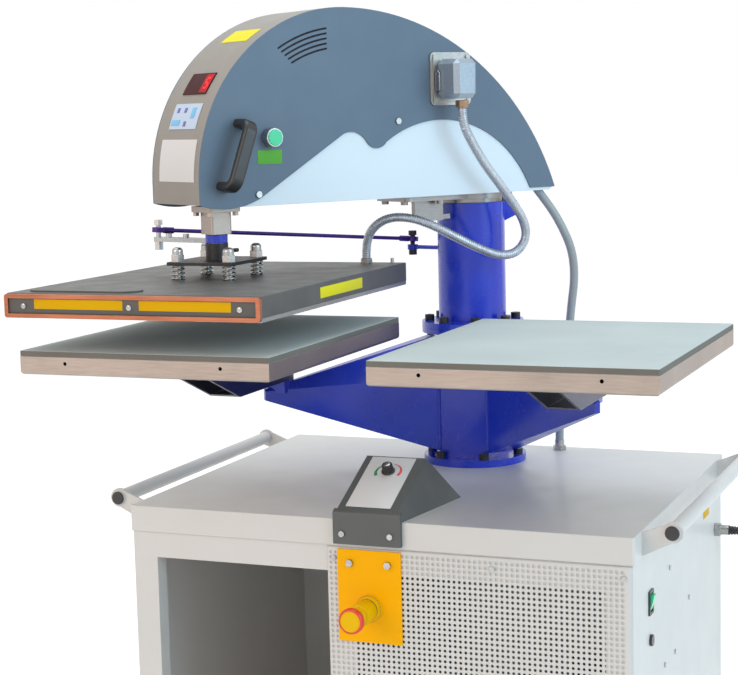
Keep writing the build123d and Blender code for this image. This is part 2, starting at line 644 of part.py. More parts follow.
# Fasteners of the cabinet.
with BuildPart() as cabinet_screws:
    for x, z in PANEL_SCREWS:
        disc(facing_front(x, BODY_FRONT - PANEL_T, z), 4.0, 2.0)
        disc(facing_front(x, BODY_FRONT + 4, z), PANEL_SCREW_R, PANEL_T + 4)
    for x, z in APRON_SCREWS:
        disc(facing_front(x, box_front, rise(z)), 4.5, 2.5)
        disc(facing_front(x, FRONT_Y + SHEET + 0.5, rise(z)), PANEL_SCREW_R, BOX_PROUD + SHEET + 0.5)
    for x, z in ESTOP_BOLTS:
        hexagon(facing_front(x, plate_y - PLATE_T, rise(z)), 10.0, 5.0)
        disc(facing_front(x, plate_y - PLATE_T, rise(z)), PANEL_SCREW_R, -PLATE_T)
    for across, up in SIDE_SCREWS:
        spot = facing_right(BODY_RIGHT, COLUMN_Y + across, rise(up))
        disc(spot, 4.0, 1.8)
        disc(spot, PANEL_SCREW_R, -4.0)
write(cabinet_screws, "cabinet_screws")

# Switches and glands on the cabinet.
ROCKER_AXIS_X = BODY_RIGHT - 4.0
ROCKER_T = 14.0
ROCKER_SLOT = 28.0
ROCKER_PIN = 17.0
ROCKER_PIN_R = 1.5
with BuildPart() as switch_housings:
    bezel = facing_right(BODY_RIGHT, ROCKER_Y, ROCKER_Z)
    block(bezel, ROCKER_W, ROCKER_H, 2.5, corner=2.0)
    block(bezel, ROCKER_HOLE[0] - 0.4, ROCKER_HOLE[1] - 0.4, -24.0)
    block(bezel.offset(-20), ROCKER_T + 1.0, ROCKER_SLOT, 30.0, mode=Mode.SUBTRACT)
    pin_hole = Plane((ROCKER_AXIS_X, ROCKER_Y + ROCKER_PIN / 2 + 0.2, ROCKER_Z), z_dir=(0, -1, 0))
    disc(pin_hole, ROCKER_PIN_R + RUN, ROCKER_PIN + 0.4, Mode.SUBTRACT)
    disc(front, COLLAR_OUT + 3, 6.0)
    disc(front.offset(6.0), COLLAR_OUT, SLEEVE_OUT - 6.0)
    disc(front.offset(SLEEVE_OUT), NECK_R, NECK_OUT - SLEEVE_OUT)
    disc(front.offset(-PLATE_T), 11.0 - 0.1, PLATE_T)
    disc(front.offset(-PLATE_T), PLUNGER_R + RUN, PLATE_T + NECK_OUT + 1.0, Mode.SUBTRACT)
    fuse = facing_right(BODY_RIGHT, ROCKER_Y, FUSE_Z)
    disc(fuse, 8.5, 4.0)
    disc(fuse, FUSE_HOLE_R - 0.1, -26.0)
write(switch_housings, "switch_housings")

with BuildPart() as rocker:
    rock = Plane((ROCKER_AXIS_X, ROCKER_Y + ROCKER_T / 2, ROCKER_Z), x_dir=(1, 0, 0), z_dir=(0, -1, 0))
    slab(rock, ((-5, -11.5), (5.5, -11.5), (9.0, 0), (11.5, 11.5), (-5, 11.5)), ROCKER_T)
    disc(rock.offset((ROCKER_T - ROCKER_PIN) / 2), ROCKER_PIN_R, ROCKER_PIN)
write(rocker, "rocker")

CORD_R = 4.5
HOSE_R = 7.5
HOSE_BORE = 5.5


def gland(plane, hole_r, nut, bore, length):
    """A cable gland: hexagon, dome and lock nut on a threaded neck, with a clear bore."""
    hexagon(plane, nut, length * 0.45)
    disc(plane.offset(length * 0.45), nut * 0.42, length * 0.55)
    disc(plane, hole_r - 0.1, -10.0)
    hexagon(plane.offset(-SHEET - 5), nut, 5.0)
    disc(plane.offset(-12), bore, length + 14, Mode.SUBTRACT)


GLAND_NUT = 20.0
MAINS_OUT = 24.0
REAR_GLAND_H = 18.0
with BuildPart() as cable_glands:
    gland(facing_right(BODY_RIGHT, MAINS_Y, MAINS_Z), MAINS_HOLE_R, GLAND_NUT, CORD_R + RUN, MAINS_OUT)
    gland(Plane(REAR_HOSE_FOOT), GLAND_HOLE_R, GLAND_NUT, HOSE_R, REAR_GLAND_H)
write(cable_glands, "cable_glands")

with BuildPart() as power_unit:
    unit = level(170.0, BACK_Y - BODY_INSET - SHEET - 50, CASTOR_HEIGHT + SHEET)
    block(unit, 260.0, 100.0, 180.0, corner=6.0)
    block(unit.offset(180.0), 60.0, 40.0, 50.0)
write(power_unit, "power_unit")

# Castors: fixed at the rear, swivelling at the front.
WHEEL_R = 37.5
WHEEL_W = 24.0
AXLE_R = 4.0
FORK_T = 3.0
FORK_GAP = 1.5
TRAIL = 30.0
CASTOR_X = BODY_W / 2 - 62.0
CASTOR_Y = BODY_D / 2 - 62.0
PLATE_TOP_T = 4.0
SWIVEL_T = 8.0
CROWN = CASTOR_HEIGHT - PLATE_TOP_T - SWIVEL_T


def fork(x, axle_y, crown_y, crown_top):
    """A pressed fork: crown, two cheeks and the axle."""
    half = WHEEL_W / 2 + FORK_GAP
    block(Plane((x, (axle_y + crown_y) / 2, crown_top - FORK_T)), 2 * (half + FORK_T), 50.0, FORK_T)
    for low in (x - half - FORK_T, x + half):
        slab(
            facing_right(low, 0, 0),
            ((axle_y - 9, WHEEL_R - 8), (axle_y + 9, WHEEL_R - 8),
             ((axle_y + crown_y) / 2 + 25, crown_top), ((axle_y + crown_y) / 2 - 25, crown_top)),
            FORK_T,
        )
    disc(facing_right(x - half - FORK_T - 3, axle_y, WHEEL_R), AXLE_R, 2 * (half + FORK_T + 3))


with BuildPart() as castor_plates:
    for x in (-CASTOR_X, CASTOR_X):
        for y in (CABINET_Y - CASTOR_Y, CABINET_Y + CASTOR_Y):
            block(level(x, y, CASTOR_HEIGHT - PLATE_TOP_T), 90.0, 80.0, PLATE_TOP_T, corner=6.0)
        disc(level(x, CABINET_Y - CASTOR_Y, CROWN + FACE), 24.0, SWIVEL_T - FACE)
        disc(level(x, CABINET_Y - CASTOR_Y, CROWN - 8), 6.0, 9.0)
        disc(level(x, CABINET_Y - CASTOR_Y, CROWN - 8), 9.0, 8.0 - FORK_T - FACE)
        block(level(x, CABINET_Y + CASTOR_Y, CROWN), 46.0, 50.0, SWIVEL_T)
        fork(x, CABINET_Y + CASTOR_Y, CABINET_Y + CASTOR_Y, CROWN)
write(castor_plates, "castor_plates")

for name, x in (("castor_fork_left", -CASTOR_X), ("castor_fork_right", CASTOR_X)):
    with BuildPart() as castor_fork:
        crown_y = CABINET_Y - CASTOR_Y
        fork(x, crown_y + TRAIL, crown_y, CROWN)
        disc(level(x, crown_y, CROWN - FORK_T), 20.0, FORK_T)
        disc(level(x, crown_y, CROWN - FORK_T), 6.0 + 0.05, FORK_T, Mode.SUBTRACT)
    write(castor_fork, name)

for name, x, y in (
    ("castor_wheel_front_left", -CASTOR_X, CABINET_Y - CASTOR_Y + TRAIL),
    ("castor_wheel_front_right", CASTOR_X, CABINET_Y - CASTOR_Y + TRAIL),
    ("castor_wheel_rear_left", -CASTOR_X, CABINET_Y + CASTOR_Y),
    ("castor_wheel_rear_right", CASTOR_X, CABINET_Y + CASTOR_Y),
):
    with BuildPart() as castor_wheel:
        wheel = facing_right(x - WHEEL_W / 2, y, WHEEL_R)
        disc(wheel, WHEEL_R, WHEEL_W)
        fillet(castor_wheel.edges().filter_by(GeomType.CIRCLE), 4.0)
        disc(wheel, WHEEL_R - 12, 5.0, Mode.SUBTRACT)
        disc(wheel.offset(WHEEL_W - 5), WHEEL_R - 12, 5.0, Mode.SUBTRACT)
        disc(wheel, 10.0, WHEEL_W)
        disc(wheel, AXLE_R + RUN, WHEEL_W, Mode.SUBTRACT)
    write(castor_wheel, name)

# Parallel link: ball and rod between the column's pin and the press shaft's arm.
BALL_R = 7.0
EYE_R = 10.0
EYE_T = 8.0
ROD_R = 3.2
OPEN_PIN_GAP = 2.2
pivot_d = COLUMN_FOOT + LINK_OFFSET + UP * PIVOT_D_RISE
pivot_c = arm_point(ARM_REACH, 0, PIVOT_C_RISE) + LINK_OFFSET
link_way = (pivot_c - pivot_d).normalized()
link_side = Vector(-link_way.Y, link_way.X, 0).normalized()
link_up = link_way.cross(link_side)

with BuildPart() as link_joint:
    with Locations(pivot_d):
        Sphere(BALL_R)
    disc(Plane(pivot_d - UP * 12), 20.0, 12 - BALL_R * 0.85, Mode.SUBTRACT)
    disc(Plane(pivot_d + UP * BALL_R * 0.85), 20.0, 12.0, Mode.SUBTRACT)
    disc(Plane(pivot_d - UP * 12), PIN_R + RUN, 24.0, Mode.SUBTRACT)
write(link_joint, "link_joint")

with BuildPart() as link_rod:
    for pivot in (pivot_d, pivot_c):
        disc(Plane(pivot - link_up * EYE_T / 2, x_dir=link_way, z_dir=link_up), EYE_R, EYE_T)
    rod_between(pivot_d + link_way * (EYE_R - 1.5), pivot_c - link_way * (EYE_R - 1.5), ROD_R)
    for start, end in ((pivot_d, pivot_c), (pivot_c, pivot_d)):
        way = (end - start).normalized()
        rod_between(start + way * (EYE_R - 1), start + way * (EYE_R + 16), 5.0)
    with Locations(pivot_d):
        Sphere(BALL_R + 0.06, mode=Mode.SUBTRACT)
    eye = Plane(pivot_c - link_up * EYE_T, x_dir=link_way, z_dir=link_up)
    disc(eye, PIN_R + OPEN_PIN_GAP, 2 * EYE_T, Mode.SUBTRACT)
write(link_rod, "link_rod")

# Swing head: inner arm, covers and front strip.


def head_outline(inset):
    """The head's outline seen from its side: two round stretches that meet at the peak."""
    nose = (HEAD_PEAK_D, HEAD_PEAK_RISE - NOSE_R)
    back = (HEAD_PEAK_D, HEAD_PEAK_RISE - BACK_R)
    back_radius = BACK_R - inset
    foot = ARM_RISE + 5.0
    reach = math.sqrt(back_radius**2 - (foot - back[1]) ** 2)
    CenterArc(nose, NOSE_R - inset, 0, 90)
    turn = math.degrees(math.atan2(foot - back[1], -reach))
    CenterArc(back, back_radius, 90, turn - 90)
    return (nose[0] + NOSE_R - inset, nose[1]), (back[0] - reach, foot)


COVER_BACK_D = -70.0
START_D = 438.0
START_RISE = 559.0
START_OUT = 17.0
START_RIM = 14.5
START_FACE_R = 12.2
START_R = 9.5
START_HOLE_R = 11.2
VENTS = 5
VENT_DEPTH = 30.5
VENT_PITCH = 7.6
VENT_HALF = 1.5
NOSE_FOOT = 462.0
with BuildPart() as side_covers:
    for right in (HEAD_HALF, -HEAD_HALF + COVER_T):
        with BuildSketch(arm_side(right)) as cover:
            with BuildLine():
                nose, foot = head_outline(0.0)
                Polyline(nose, (nose[0], NOSE_FOOT))
                ThreePointArc((nose[0], NOSE_FOOT), (509.0, 455.0), (455.5, 469.1))
                Line((455.5, 469.1), (308.9, 557.6))
                ThreePointArc((308.9, 557.6), (290.0, 563.9), (259.4, 547.5))
                ThreePointArc((259.4, 547.5), (241.0, 537.2), (222.0, 546.5))
                ThreePointArc((222.0, 546.5), (119.2, 579.0), (COVER_BACK_D, foot[1]))
                Line((COVER_BACK_D, foot[1]), foot)
            make_face()
        extrude(cover.sketch, amount=COVER_T)
        for i in range(VENTS):
            radius = NOSE_R - VENT_DEPTH - VENT_PITCH * i
            with BuildSketch(arm_side(right)) as vent:
                with BuildLine():
                    CenterArc((HEAD_PEAK_D, HEAD_PEAK_RISE - NOSE_R), radius, 59.4 + 0.65 * i, 22.9 - 0.95 * i)
                    offset(amount=VENT_HALF)
                make_face()
            extrude(vent.sketch, amount=COVER_T, mode=Mode.SUBTRACT)
        if right > 0:
            disc(arm_side(right, START_D, START_RISE), START_HOLE_R, COVER_T, Mode.SUBTRACT)
write(side_covers, "side_covers")

STRIP_HALF = HEAD_HALF - COVER_T
with BuildPart() as hood_strip:
    with BuildSketch(arm_side(STRIP_HALF)) as strip:
        with BuildLine():
            nose, foot = head_outline(0.0)
            inside = nose[0] - STRIP_T
            Polyline(nose, (nose[0], NOSE_FOOT), (inside, NOSE_FOOT), (inside, nose[1]))
            inner_nose, inner_foot = head_outline(STRIP_T)
            Line(foot, inner_foot)
        make_face()
    extrude(strip.sketch, amount=2 * STRIP_HALF)
write(hood_strip, "hood_strip")

ARM_HALF = STRIP_HALF - 0.1
ARM_WALL = 4.0
ARM_GAP = STRIP_T + SLIP
SHAFT_HOLE_R = 15.0
GUIDE_D = ARM_REACH
REAR_HOSE_TOP = (-100.0, 48.0)
BEAM_BACK = -112.0
with BuildPart() as arm_beam:
    with BuildSketch(arm_side(ARM_HALF)) as beam:
        with BuildLine():
            nose, foot = head_outline(ARM_GAP)
            Polyline(nose, (nose[0], NOSE_FOOT), (505.0, ARM_RISE), (BEAM_BACK, ARM_RISE), foot)
        make_face()
    extrude(beam.sketch, amount=2 * ARM_HALF)
    with BuildSketch(arm_side(ARM_HALF - ARM_WALL)) as hollow:
        with BuildLine():
            nose, foot = head_outline(ARM_GAP)
            floor = ARM_RISE + ARM_PLATE
            Polyline(nose, (nose[0], floor + 6), (522.0, floor), (BEAM_BACK, floor), foot)
        make_face()
    extrude(hollow.sketch, amount=2 * (ARM_HALF - ARM_WALL), mode=Mode.SUBTRACT)
    disc(arm_top(ARM_RISE - 1, GUIDE_D), SHAFT_HOLE_R, ARM_PLATE + 3, Mode.SUBTRACT)
    disc(arm_top(ARM_RISE - 1), SHAFT_R, ARM_PLATE + 3, Mode.SUBTRACT)
    disc(arm_top(ARM_RISE - 1, *REAR_HOSE_TOP), HOSE_R, ARM_PLATE + 3, Mode.SUBTRACT)
    disc(arm_side(ARM_HALF, START_D, START_RISE), START_HOLE_R, ARM_WALL, Mode.SUBTRACT)
write(arm_beam, "arm_beam")

# Head fittings on the outside.
GRIP_TOP = (489.0, 580.0)
GRIP_FOOT = (522.0, 488.0)
GRIP_OUT = 35.0
GRIP_W = 22.0
GRIP_T = 13.0
with BuildPart() as grip:
    run = Vector(GRIP_FOOT[0] - GRIP_TOP[0], GRIP_FOOT[1] - GRIP_TOP[1], 0)
    top = arm_point(GRIP_TOP[0], HEAD_HALF, GRIP_TOP[1])
    foot_point = arm_point(GRIP_FOOT[0], HEAD_HALF, GRIP_FOOT[1])
    lift = RIGHT * (GRIP_OUT)
    with BuildLine() as bow:
        FilletPolyline(top, top + lift, foot_point + lift, foot_point, radius=14)
    with BuildSketch(Plane(top, x_dir=(foot_point - top).normalized(), z_dir=RIGHT)):
        RectangleRounded(GRIP_T, GRIP_W, 5.0)
    sweep()
write(grip, "grip")

with BuildPart() as start_bezel:
    outside = arm_side(HEAD_HALF, START_D, START_RISE)
    disc(outside, START_RIM, -START_OUT)
    fillet(start_bezel.edges().filter_by(GeomType.CIRCLE).sort_by(Axis.X)[-1], 1.2)
    disc(outside, START_HOLE_R - FACE, COVER_T + ARM_WALL + 20.0)
    disc(outside.offset(-START_OUT), START_FACE_R + RUN, 6.5, Mode.SUBTRACT)
    disc(outside.offset(-START_OUT), START_R + 0.05, START_OUT + 28.0, Mode.SUBTRACT)
write(start_bezel, "start_bezel")

with BuildPart() as start_button:
    disc(outside.offset(-START_OUT), START_R, START_OUT + 16.5)
    disc(outside.offset(-START_OUT - 1.5), START_FACE_R, 4.6)
    fillet(start_button.edges().filter_by(GeomType.CIRCLE).sort_by(Axis.X)[-1], 1.0)
write(start_button, "start_button")

PLUG_D = 96.0
PLUG_RISE = 644.0
HOOD_D = 107.0
HOOD_RISE = 643.0
HOOD_OUT = 54.0
FLANGE_OUT = 8.0
with BuildPart() as connector_base:
    face = arm_side(HEAD_HALF, PLUG_D, PLUG_RISE)
    block(face, 80.0, 84.0, -FLANGE_OUT / 2, corner=8.0)
    block(arm_side(HEAD_HALF + FLANGE_OUT / 2, HOOD_D, HOOD_RISE), 52.0, 70.0, -FLANGE_OUT / 2, corner=4.0)
    for d in (-33.0, 33.0):
        for z in (-35.0, 35.0):
            disc(arm_side(HEAD_HALF + FLANGE_OUT / 2, PLUG_D + d, PLUG_RISE + z), 3.5, -3.0)
write(connector_base, "connector_base")

HOSE_EXIT = (100.0, 112.0, 597.0)
with BuildPart() as connector_hood:
    inner = arm_side(HEAD_HALF + FLANGE_OUT, HOOD_D, HOOD_RISE)
    block(inner, 44.0, 62.0, -HOOD_OUT)
    chamfer(connector_hood.faces().sort_by(Axis((0, 0, 0), tuple(RIGHT)))[-1].edges(), 4.0)
    under = arm_top(HOSE_EXIT[2], HOSE_EXIT[0], HOSE_EXIT[1])
    hexagon(under, 19.0, HOOD_RISE - 31.0 - HOSE_EXIT[2])
    disc(under.offset(-2), HOSE_BORE, HOOD_RISE - HOSE_EXIT[2], Mode.SUBTRACT)
write(connector_hood, "connector_hood")

# Under the head: bearing flange with catch and stop, shaft, guide and actuator.
FLANGE_T = 9.0
FLANGE_LOW = ARM_RISE - FLANGE_T
STOP_R = 68.0
BUMPER_R = 4.0
stop_lag = math.radians(STOP_TURN - HEAD_TURN)
bumper_reach = ((STOP_R - BUMPER_R) * math.sin(stop_lag) - STOP_HALF - SLIP) / math.cos(stop_lag)
with BuildPart() as head_flange:
    slab(
        arm_top(FLANGE_LOW),
        ((-58, -46), (165, -46), (165, 46), (-58, 46)), FLANGE_T,
    )
    fillet(head_flange.edges().filter_by(Axis.Z), 10.0)
    disc(arm_top(FLANGE_LOW), COLUMN_R + 4, FLANGE_T)
    block(arm_top(414.0, 105.5, 20.0), 57.0, 10.0, FLANGE_LOW - 414.0)
    block(arm_top(416.0, 70.0, 20.0), 15.0, 10.0, 8.0)
    block(arm_top(STOP_TOP - 9, -STOP_R), 16.0, 26.0, FLANGE_LOW + FLANGE_T - STOP_TOP + 9)
    for sign in (-1, 1):
        bumper = arm_side(0, -STOP_R, STOP_TOP - 4)
        disc(bumper, BUMPER_R, sign * bumper_reach)
        disc(bumper.offset(sign * 13.0), BUMPER_R + 2.5, sign * 5.0)
    for d, s in ((152.0, 20.0), (92.0, -34.0), (152.0, -34.0), (92.0, 38.0)):
        disc(arm_top(FLANGE_LOW, d, s), 6.0, -6.0)
    disc(arm_top(FLANGE_LOW - 1), SHAFT_R, FLANGE_T + 2, Mode.SUBTRACT)
write(head_flange, "head_flange")

SHAFT_LIFT = 10.0
with BuildPart() as pivot_shaft:
    shaft_low = COLUMN_FOOT_RISE + SHAFT_LIFT
    disc(level(0, COLUMN_Y, rise(shaft_low)), SHAFT_R, ARM_RISE + ARM_PLATE - shaft_low)
    disc(level(0, COLUMN_Y, rise(ARM_RISE + ARM_PLATE)), SHAFT_R + 12, 8.0)
    disc(level(0, COLUMN_Y, rise(COLUMN_FOOT_RISE)), 10.0, ARM_RISE, Mode.SUBTRACT)
write(pivot_shaft, "pivot_shaft")

SPINDLE_R = 12.0
GUIDE_W = 36.0
GUIDE_LOW = 414.0
PLATE_GUIDE = 56.0
with BuildPart() as guide_block:
    block(arm_top(GUIDE_LOW, GUIDE_D), GUIDE_W, GUIDE_W, ARM_RISE - GUIDE_LOW, corner=4.0)
    block(arm_top(ARM_RISE - FLANGE_T, GUIDE_D), PLATE_GUIDE, PLATE_GUIDE, FLANGE_T, corner=3.0)
    for d in (-22.0, 22.0):
        for s in (-22.0, 22.0):
            hexagon(arm_top(ARM_RISE - FLANGE_T - 6, GUIDE_D + d, s), 9.0, 6.0)
    disc(arm_top(GUIDE_LOW - 1, GUIDE_D), SPINDLE_R + RUN, ARM_RISE, Mode.SUBTRACT)
write(guide_block, "guide_block")

RAM_R = 17.0
ACTUATOR_R = 24.0
ACTUATOR_TOP = 612.0
RAM_LOW = 540.0
RAM_LENGTH = 46.0
SPINDLE_TOP = RAM_LOW - FACE
with BuildPart() as press_actuator:
    disc(arm_top(ARM_RISE + ARM_PLATE, GUIDE_D), ACTUATOR_R, ACTUATOR_TOP - ARM_RISE - ARM_PLATE)
    block(arm_top(ACTUATOR_TOP - 24, GUIDE_D - 32), 116.0, 60.0, 24.0, corner=6.0)
    disc(arm_top(ACTUATOR_TOP - 120, GUIDE_D - 62), 26.0, 96.0)
    disc(arm_top(ARM_RISE, GUIDE_D), RAM_R + RUN, ACTUATOR_TOP - ARM_RISE - 8, Mode.SUBTRACT)
write(press_actuator, "press_actuator")

with BuildPart() as ram:
    disc(arm_top(RAM_LOW, GUIDE_D), RAM_R, RAM_LENGTH)
write(ram, "ram")

with BuildPart() as control_board:
    block(arm_side(-ARM_HALF + ARM_WALL + 8, 400.0, 640.0), 150.0, 80.0, 8.0)
    for i in range(4):
        block(arm_side(-ARM_HALF + ARM_WALL + 8, 350.0 + 32 * i, 650.0), 20.0, 14.0, -10.0)
write(control_board, "control_board")


PLATE_LIFT = 0.05
PLATE_RIGHT = 4.0


def strip_plate(low, high, half, thickness):
    """A thin plate bent to the front strip, between two turns round the nose."""
    nose = (HEAD_PEAK_D, HEAD_PEAK_RISE - NOSE_R)
    with BuildSketch(arm_side(PLATE_RIGHT + half)) as bent:
        with BuildLine():
            inner = CenterArc(nose, NOSE_R + PLATE_LIFT, low, high - low)
            outer = CenterArc(nose, NOSE_R + PLATE_LIFT + thickness, low, high - low)
            Line(inner @ 0, outer @ 0)
            Line(inner @ 1, outer @ 1)
        make_face()
    extrude(bent.sketch, amount=2 * half)


with BuildPart() as control_panel:
    strip_plate(30.4, 38.7, 35.0, 1.5)
    strip_plate(18.0, 27.0, 41.0, 0.8)
    strip_plate(0.5, 14.5, 54.0, 0.5)
write(control_panel, "control_panel")

COVER_SCREWS = ((460.3, 474.4), (199.3, 578.5))
with BuildPart() as cover_screws:
    for right in (HEAD_HALF, -HEAD_HALF):
        for d, z in COVER_SCREWS:
            disc(arm_side(right, d, z), 5.0, math.copysign(3.0, -right))
write(cover_screws, "cover_screws")

# Press shaft with its arm, hub and spring plate.
HUB_TOP = 400.0
HUB_OUT = 17.5
SPRING_PLATE_T = 5.0
SPRING_PLATE_W = 112.0
SPRING_PLATE_D = 124.0
SPRING_PLATE_TOP = 375.0
SPRING_PLATE_LOW = SPRING_PLATE_TOP - SPRING_PLATE_T
STUD_PITCH_X = 86.0
STUD_PITCH_Y = 96.0
STUD_R = 6.0
with BuildPart() as press_shaft:
    disc(arm_top(SPRING_PLATE_LOW, ARM_REACH), SPINDLE_R, SPINDLE_TOP - SPRING_PLATE_LOW)
write(press_shaft, "press_shaft")

ARM_BAR_LOW = 400.0
ARM_BAR_T = 7.0
ARM_BAR_W = 16.0
arm_centre = arm_point(ARM_REACH, 0, ARM_BAR_LOW)
with BuildPart() as link_arm:
    disc(Plane(arm_centre), 15.5, GUIDE_LOW - ARM_BAR_LOW - 0.5)
    bar = Plane(arm_centre, x_dir=LINK_OFFSET.normalized(), z_dir=UP)
    reach = LINK_OFFSET.length
    half = ARM_BAR_W / 2
    slab(bar, ((0, -half), (reach, -half), (reach, half), (0, half)), ARM_BAR_T)
    disc(Plane(arm_centre + LINK_OFFSET), ARM_BAR_W / 2, ARM_BAR_T)
    for share in (0.52, 0.82):
        disc(Plane(arm_centre + LINK_OFFSET * share), 5.0, ARM_BAR_T + 6)
    disc(Plane(arm_centre + LINK_OFFSET - UP * 12), PIN_R, 45.0)
    hexagon(Plane(arm_centre + LINK_OFFSET - UP * 13), 13.0, 13.0)
    hexagon(Plane(arm_centre + LINK_OFFSET + UP * 26), 13.0, 8.0)
    disc(Plane(arm_centre - UP), SPINDLE_R + RUN, 30.0, Mode.SUBTRACT)
write(link_arm, "link_arm")

stud_grid = [
    (-STATION_X + sx * STUD_PITCH_X / 2, STATION_CENTRE_Y + sy * STUD_PITCH_Y / 2)
    for sx in (-1, 1) for sy in (-1, 1)
]
with BuildPart() as spring_plate:
    plate = level(-STATION_X, STATION_CENTRE_Y, rise(SPRING_PLATE_LOW))
    block(plate, SPRING_PLATE_W, SPRING_PLATE_D, SPRING_PLATE_T, corner=3.0)
    disc(plate.offset(SPRING_PLATE_T), HUB_OUT, HUB_TOP - SPRING_PLATE_TOP)
    rod_between(
        arm_point(ARM_REACH, 0, 388) + Vector(HUB_OUT - 2, 0, 0),
        arm_point(ARM_REACH, 0, 390) + Vector(HUB_OUT + 20, -4, 0), 3.0,
    )
    disc(plate, SPINDLE_R, HUB_TOP - SPRING_PLATE_TOP + 10, Mode.SUBTRACT)
    for x, y in stud_grid:
        disc(level(x, y, rise(SPRING_PLATE_LOW - 1)), STUD_R + SLIP, SPRING_PLATE_T + 2, Mode.SUBTRACT)
write(spring_plate, "spring_plate")

# Heat platen: cover, heated block, front frame, studs and springs.
COVER_SHEET = 2.0
FRAME_DEEP = 7.5
BLOCK_T = 18.0
heat_centre_y = STATION_CENTRE_Y
heat_front = heat_centre_y - HEAT_D / 2
cover_d = HEAT_D - FRAME_DEEP
COVER_LOW = HEAT_BASE + 6.0
with BuildPart() as platen_cover:
    sheet = level(-STATION_X, heat_centre_y + FRAME_DEEP / 2, COVER_LOW)
    block(sheet, HEAT_W, cover_d, HEAT_TOP - COVER_LOW)
    fillet(platen_cover.edges().group_by(Axis.Z)[-1], 1.5)
    block(
        sheet, HEAT_W - 2 * COVER_SHEET, cover_d - 2 * COVER_SHEET,
        HEAT_TOP - COVER_LOW - COVER_SHEET, mode=Mode.SUBTRACT,
    )
    with BuildSketch(level(-STATION_X - HEAT_W / 2 + 110.0, heat_front + 45.0, HEAT_TOP)) as raised:
        SlotOverall(180.0, 46.0)
    extrude(raised.sketch, amount=2.5)
write(platen_cover, "platen_cover")

with BuildPart() as heating_block:
    slab_plane = level(-STATION_X, heat_centre_y + FRAME_DEEP / 2, HEAT_BASE)
    block(slab_plane, HEAT_W - 1, cover_d, COVER_LOW - HEAT_BASE - 0.1)
    block(slab_plane, HEAT_W - 2 * COVER_SHEET - 1, cover_d - 2 * COVER_SHEET - 1, BLOCK_T)
write(heating_block, "heating_block")

FRAME_RIM = 6.0
FRAME_STEP = 3.0
FRONT_SCREWS = (-172.0, 0.0, 172.0)
with BuildPart() as platen_front:
    frame = facing_front(-STATION_X, heat_front + FRAME_DEEP, HEAT_BASE + HEAT_T / 2)
    block(frame, HEAT_W, HEAT_T - 2, FRAME_DEEP, corner=4.0)
    block(
        frame.offset(FRAME_DEEP - FRAME_STEP), HEAT_W - 2 * FRAME_RIM, HEAT_T - 2 - 2 * FRAME_RIM,
        FRAME_STEP, mode=Mode.SUBTRACT,
    )
    for x in FRONT_SCREWS:
        disc(facing_front(-STATION_X + x, heat_front + FRAME_STEP, HEAT_BASE + HEAT_T / 2), 4.0, 2.0)
write(platen_front, "platen_front")

NUT_H = 22.0
GLAND_D = (198.0, -26.0)
platen_gland = arm_point(GLAND_D[0], GLAND_D[1], 0)
with BuildPart() as platen_studs:
    for x, y in stud_grid:
        disc(level(x, y, HEAT_TOP), STUD_R, SPRING_PLATE_TOP - (HEAT_TOP - TOP_HEIGHT) + NUT_H - 4)
        hexagon(level(x, y, rise(SPRING_PLATE_TOP + FACE)), 19.0, 10.0)
        disc(level(x, y, rise(SPRING_PLATE_TOP + 10)), 8.5, NUT_H - 10)
    fillet(platen_studs.edges().filter_by(GeomType.CIRCLE).group_by(Axis.Z)[-1], 6.0)
    foot_plane = Plane((platen_gland.X, platen_gland.Y, HEAT_TOP))
    hexagon(foot_plane, 18.0, 8.0)
    disc(foot_plane, HOSE_BORE, 8.0, Mode.SUBTRACT)
    disc(level(-STATION_X + HEAT_W / 2 - 16, heat_centre_y + HEAT_D / 2 - 20, HEAT_TOP), 3.0, 9.0)
write(platen_studs, "platen_studs")

# Coil springs round the studs.
SPRING_R = 9.0
WIRE_R = 1.3
SPRING_TURNS = 3
spring_low = HEAT_TOP + WIRE_R + 0.3
spring_high = rise(SPRING_PLATE_LOW) - WIRE_R - 0.3
PITCH = (spring_high - spring_low) / SPRING_TURNS


def meeting_point(start, start_way, end, end_way):
    """Where two arcs meet that leave both ends along the given ways and share a tangent."""
    chord = end - start
    both = start_way + end_way
    a = 4 - both.dot(both)
    b = chord.dot(both)
    arm = (-b + math.sqrt(b * b + a * chord.dot(chord))) / a
    return ((start + start_way * arm) + (end - end_way * arm)) * 0.5


def helix_step(x, y, low, i):
    turn = i * math.pi / 2
    spot = Vector(x + SPRING_R * math.cos(turn), y + SPRING_R * math.sin(turn), low + PITCH * i / 4)
    way = Vector(-SPRING_R * math.sin(turn), SPRING_R * math.cos(turn), PITCH / (2 * math.pi))
    return spot, way.normalized()


def coil_spring(x, y):
    with BuildPart() as spring:
        with BuildLine():
            for i in range(4 * SPRING_TURNS):
                start, start_way = helix_step(x, y, spring_low, i)
                end, end_way = helix_step(x, y, spring_low, i + 1)
                middle = meeting_point(start, start_way, end, end_way)
                TangentArc(start, middle, tangent=start_way)
                TangentArc(end, middle, tangent=end_way * -1)
        first, first_way = helix_step(x, y, spring_low, 0)
        with BuildSketch(Plane(first, x_dir=(1, 0, 0), z_dir=first_way)):
            Circle(WIRE_R)
        sweep()
    return spring.part


with BuildPart() as springs:
    add([coil_spring(x, y) for x, y in stud_grid])
print("spring: turns", SPRING_TURNS, "least gap between turns", round(PITCH - 2 * WIRE_R, 2))
write(springs, "springs")


def bend_radii(points):
    """Each corner's radius: 0.45 of the shorter run, divided by the tangent of half the turn."""
    radii = []
    for before, at, after in zip(points, points[1:], points[2:]):
        arriving = at - before
        leaving = after - at
        turn = math.radians(arriving.get_angle(leaving))
        radii.append(0.45 * min(arriving.length, leaving.length) / math.tan(turn / 2))
    return radii


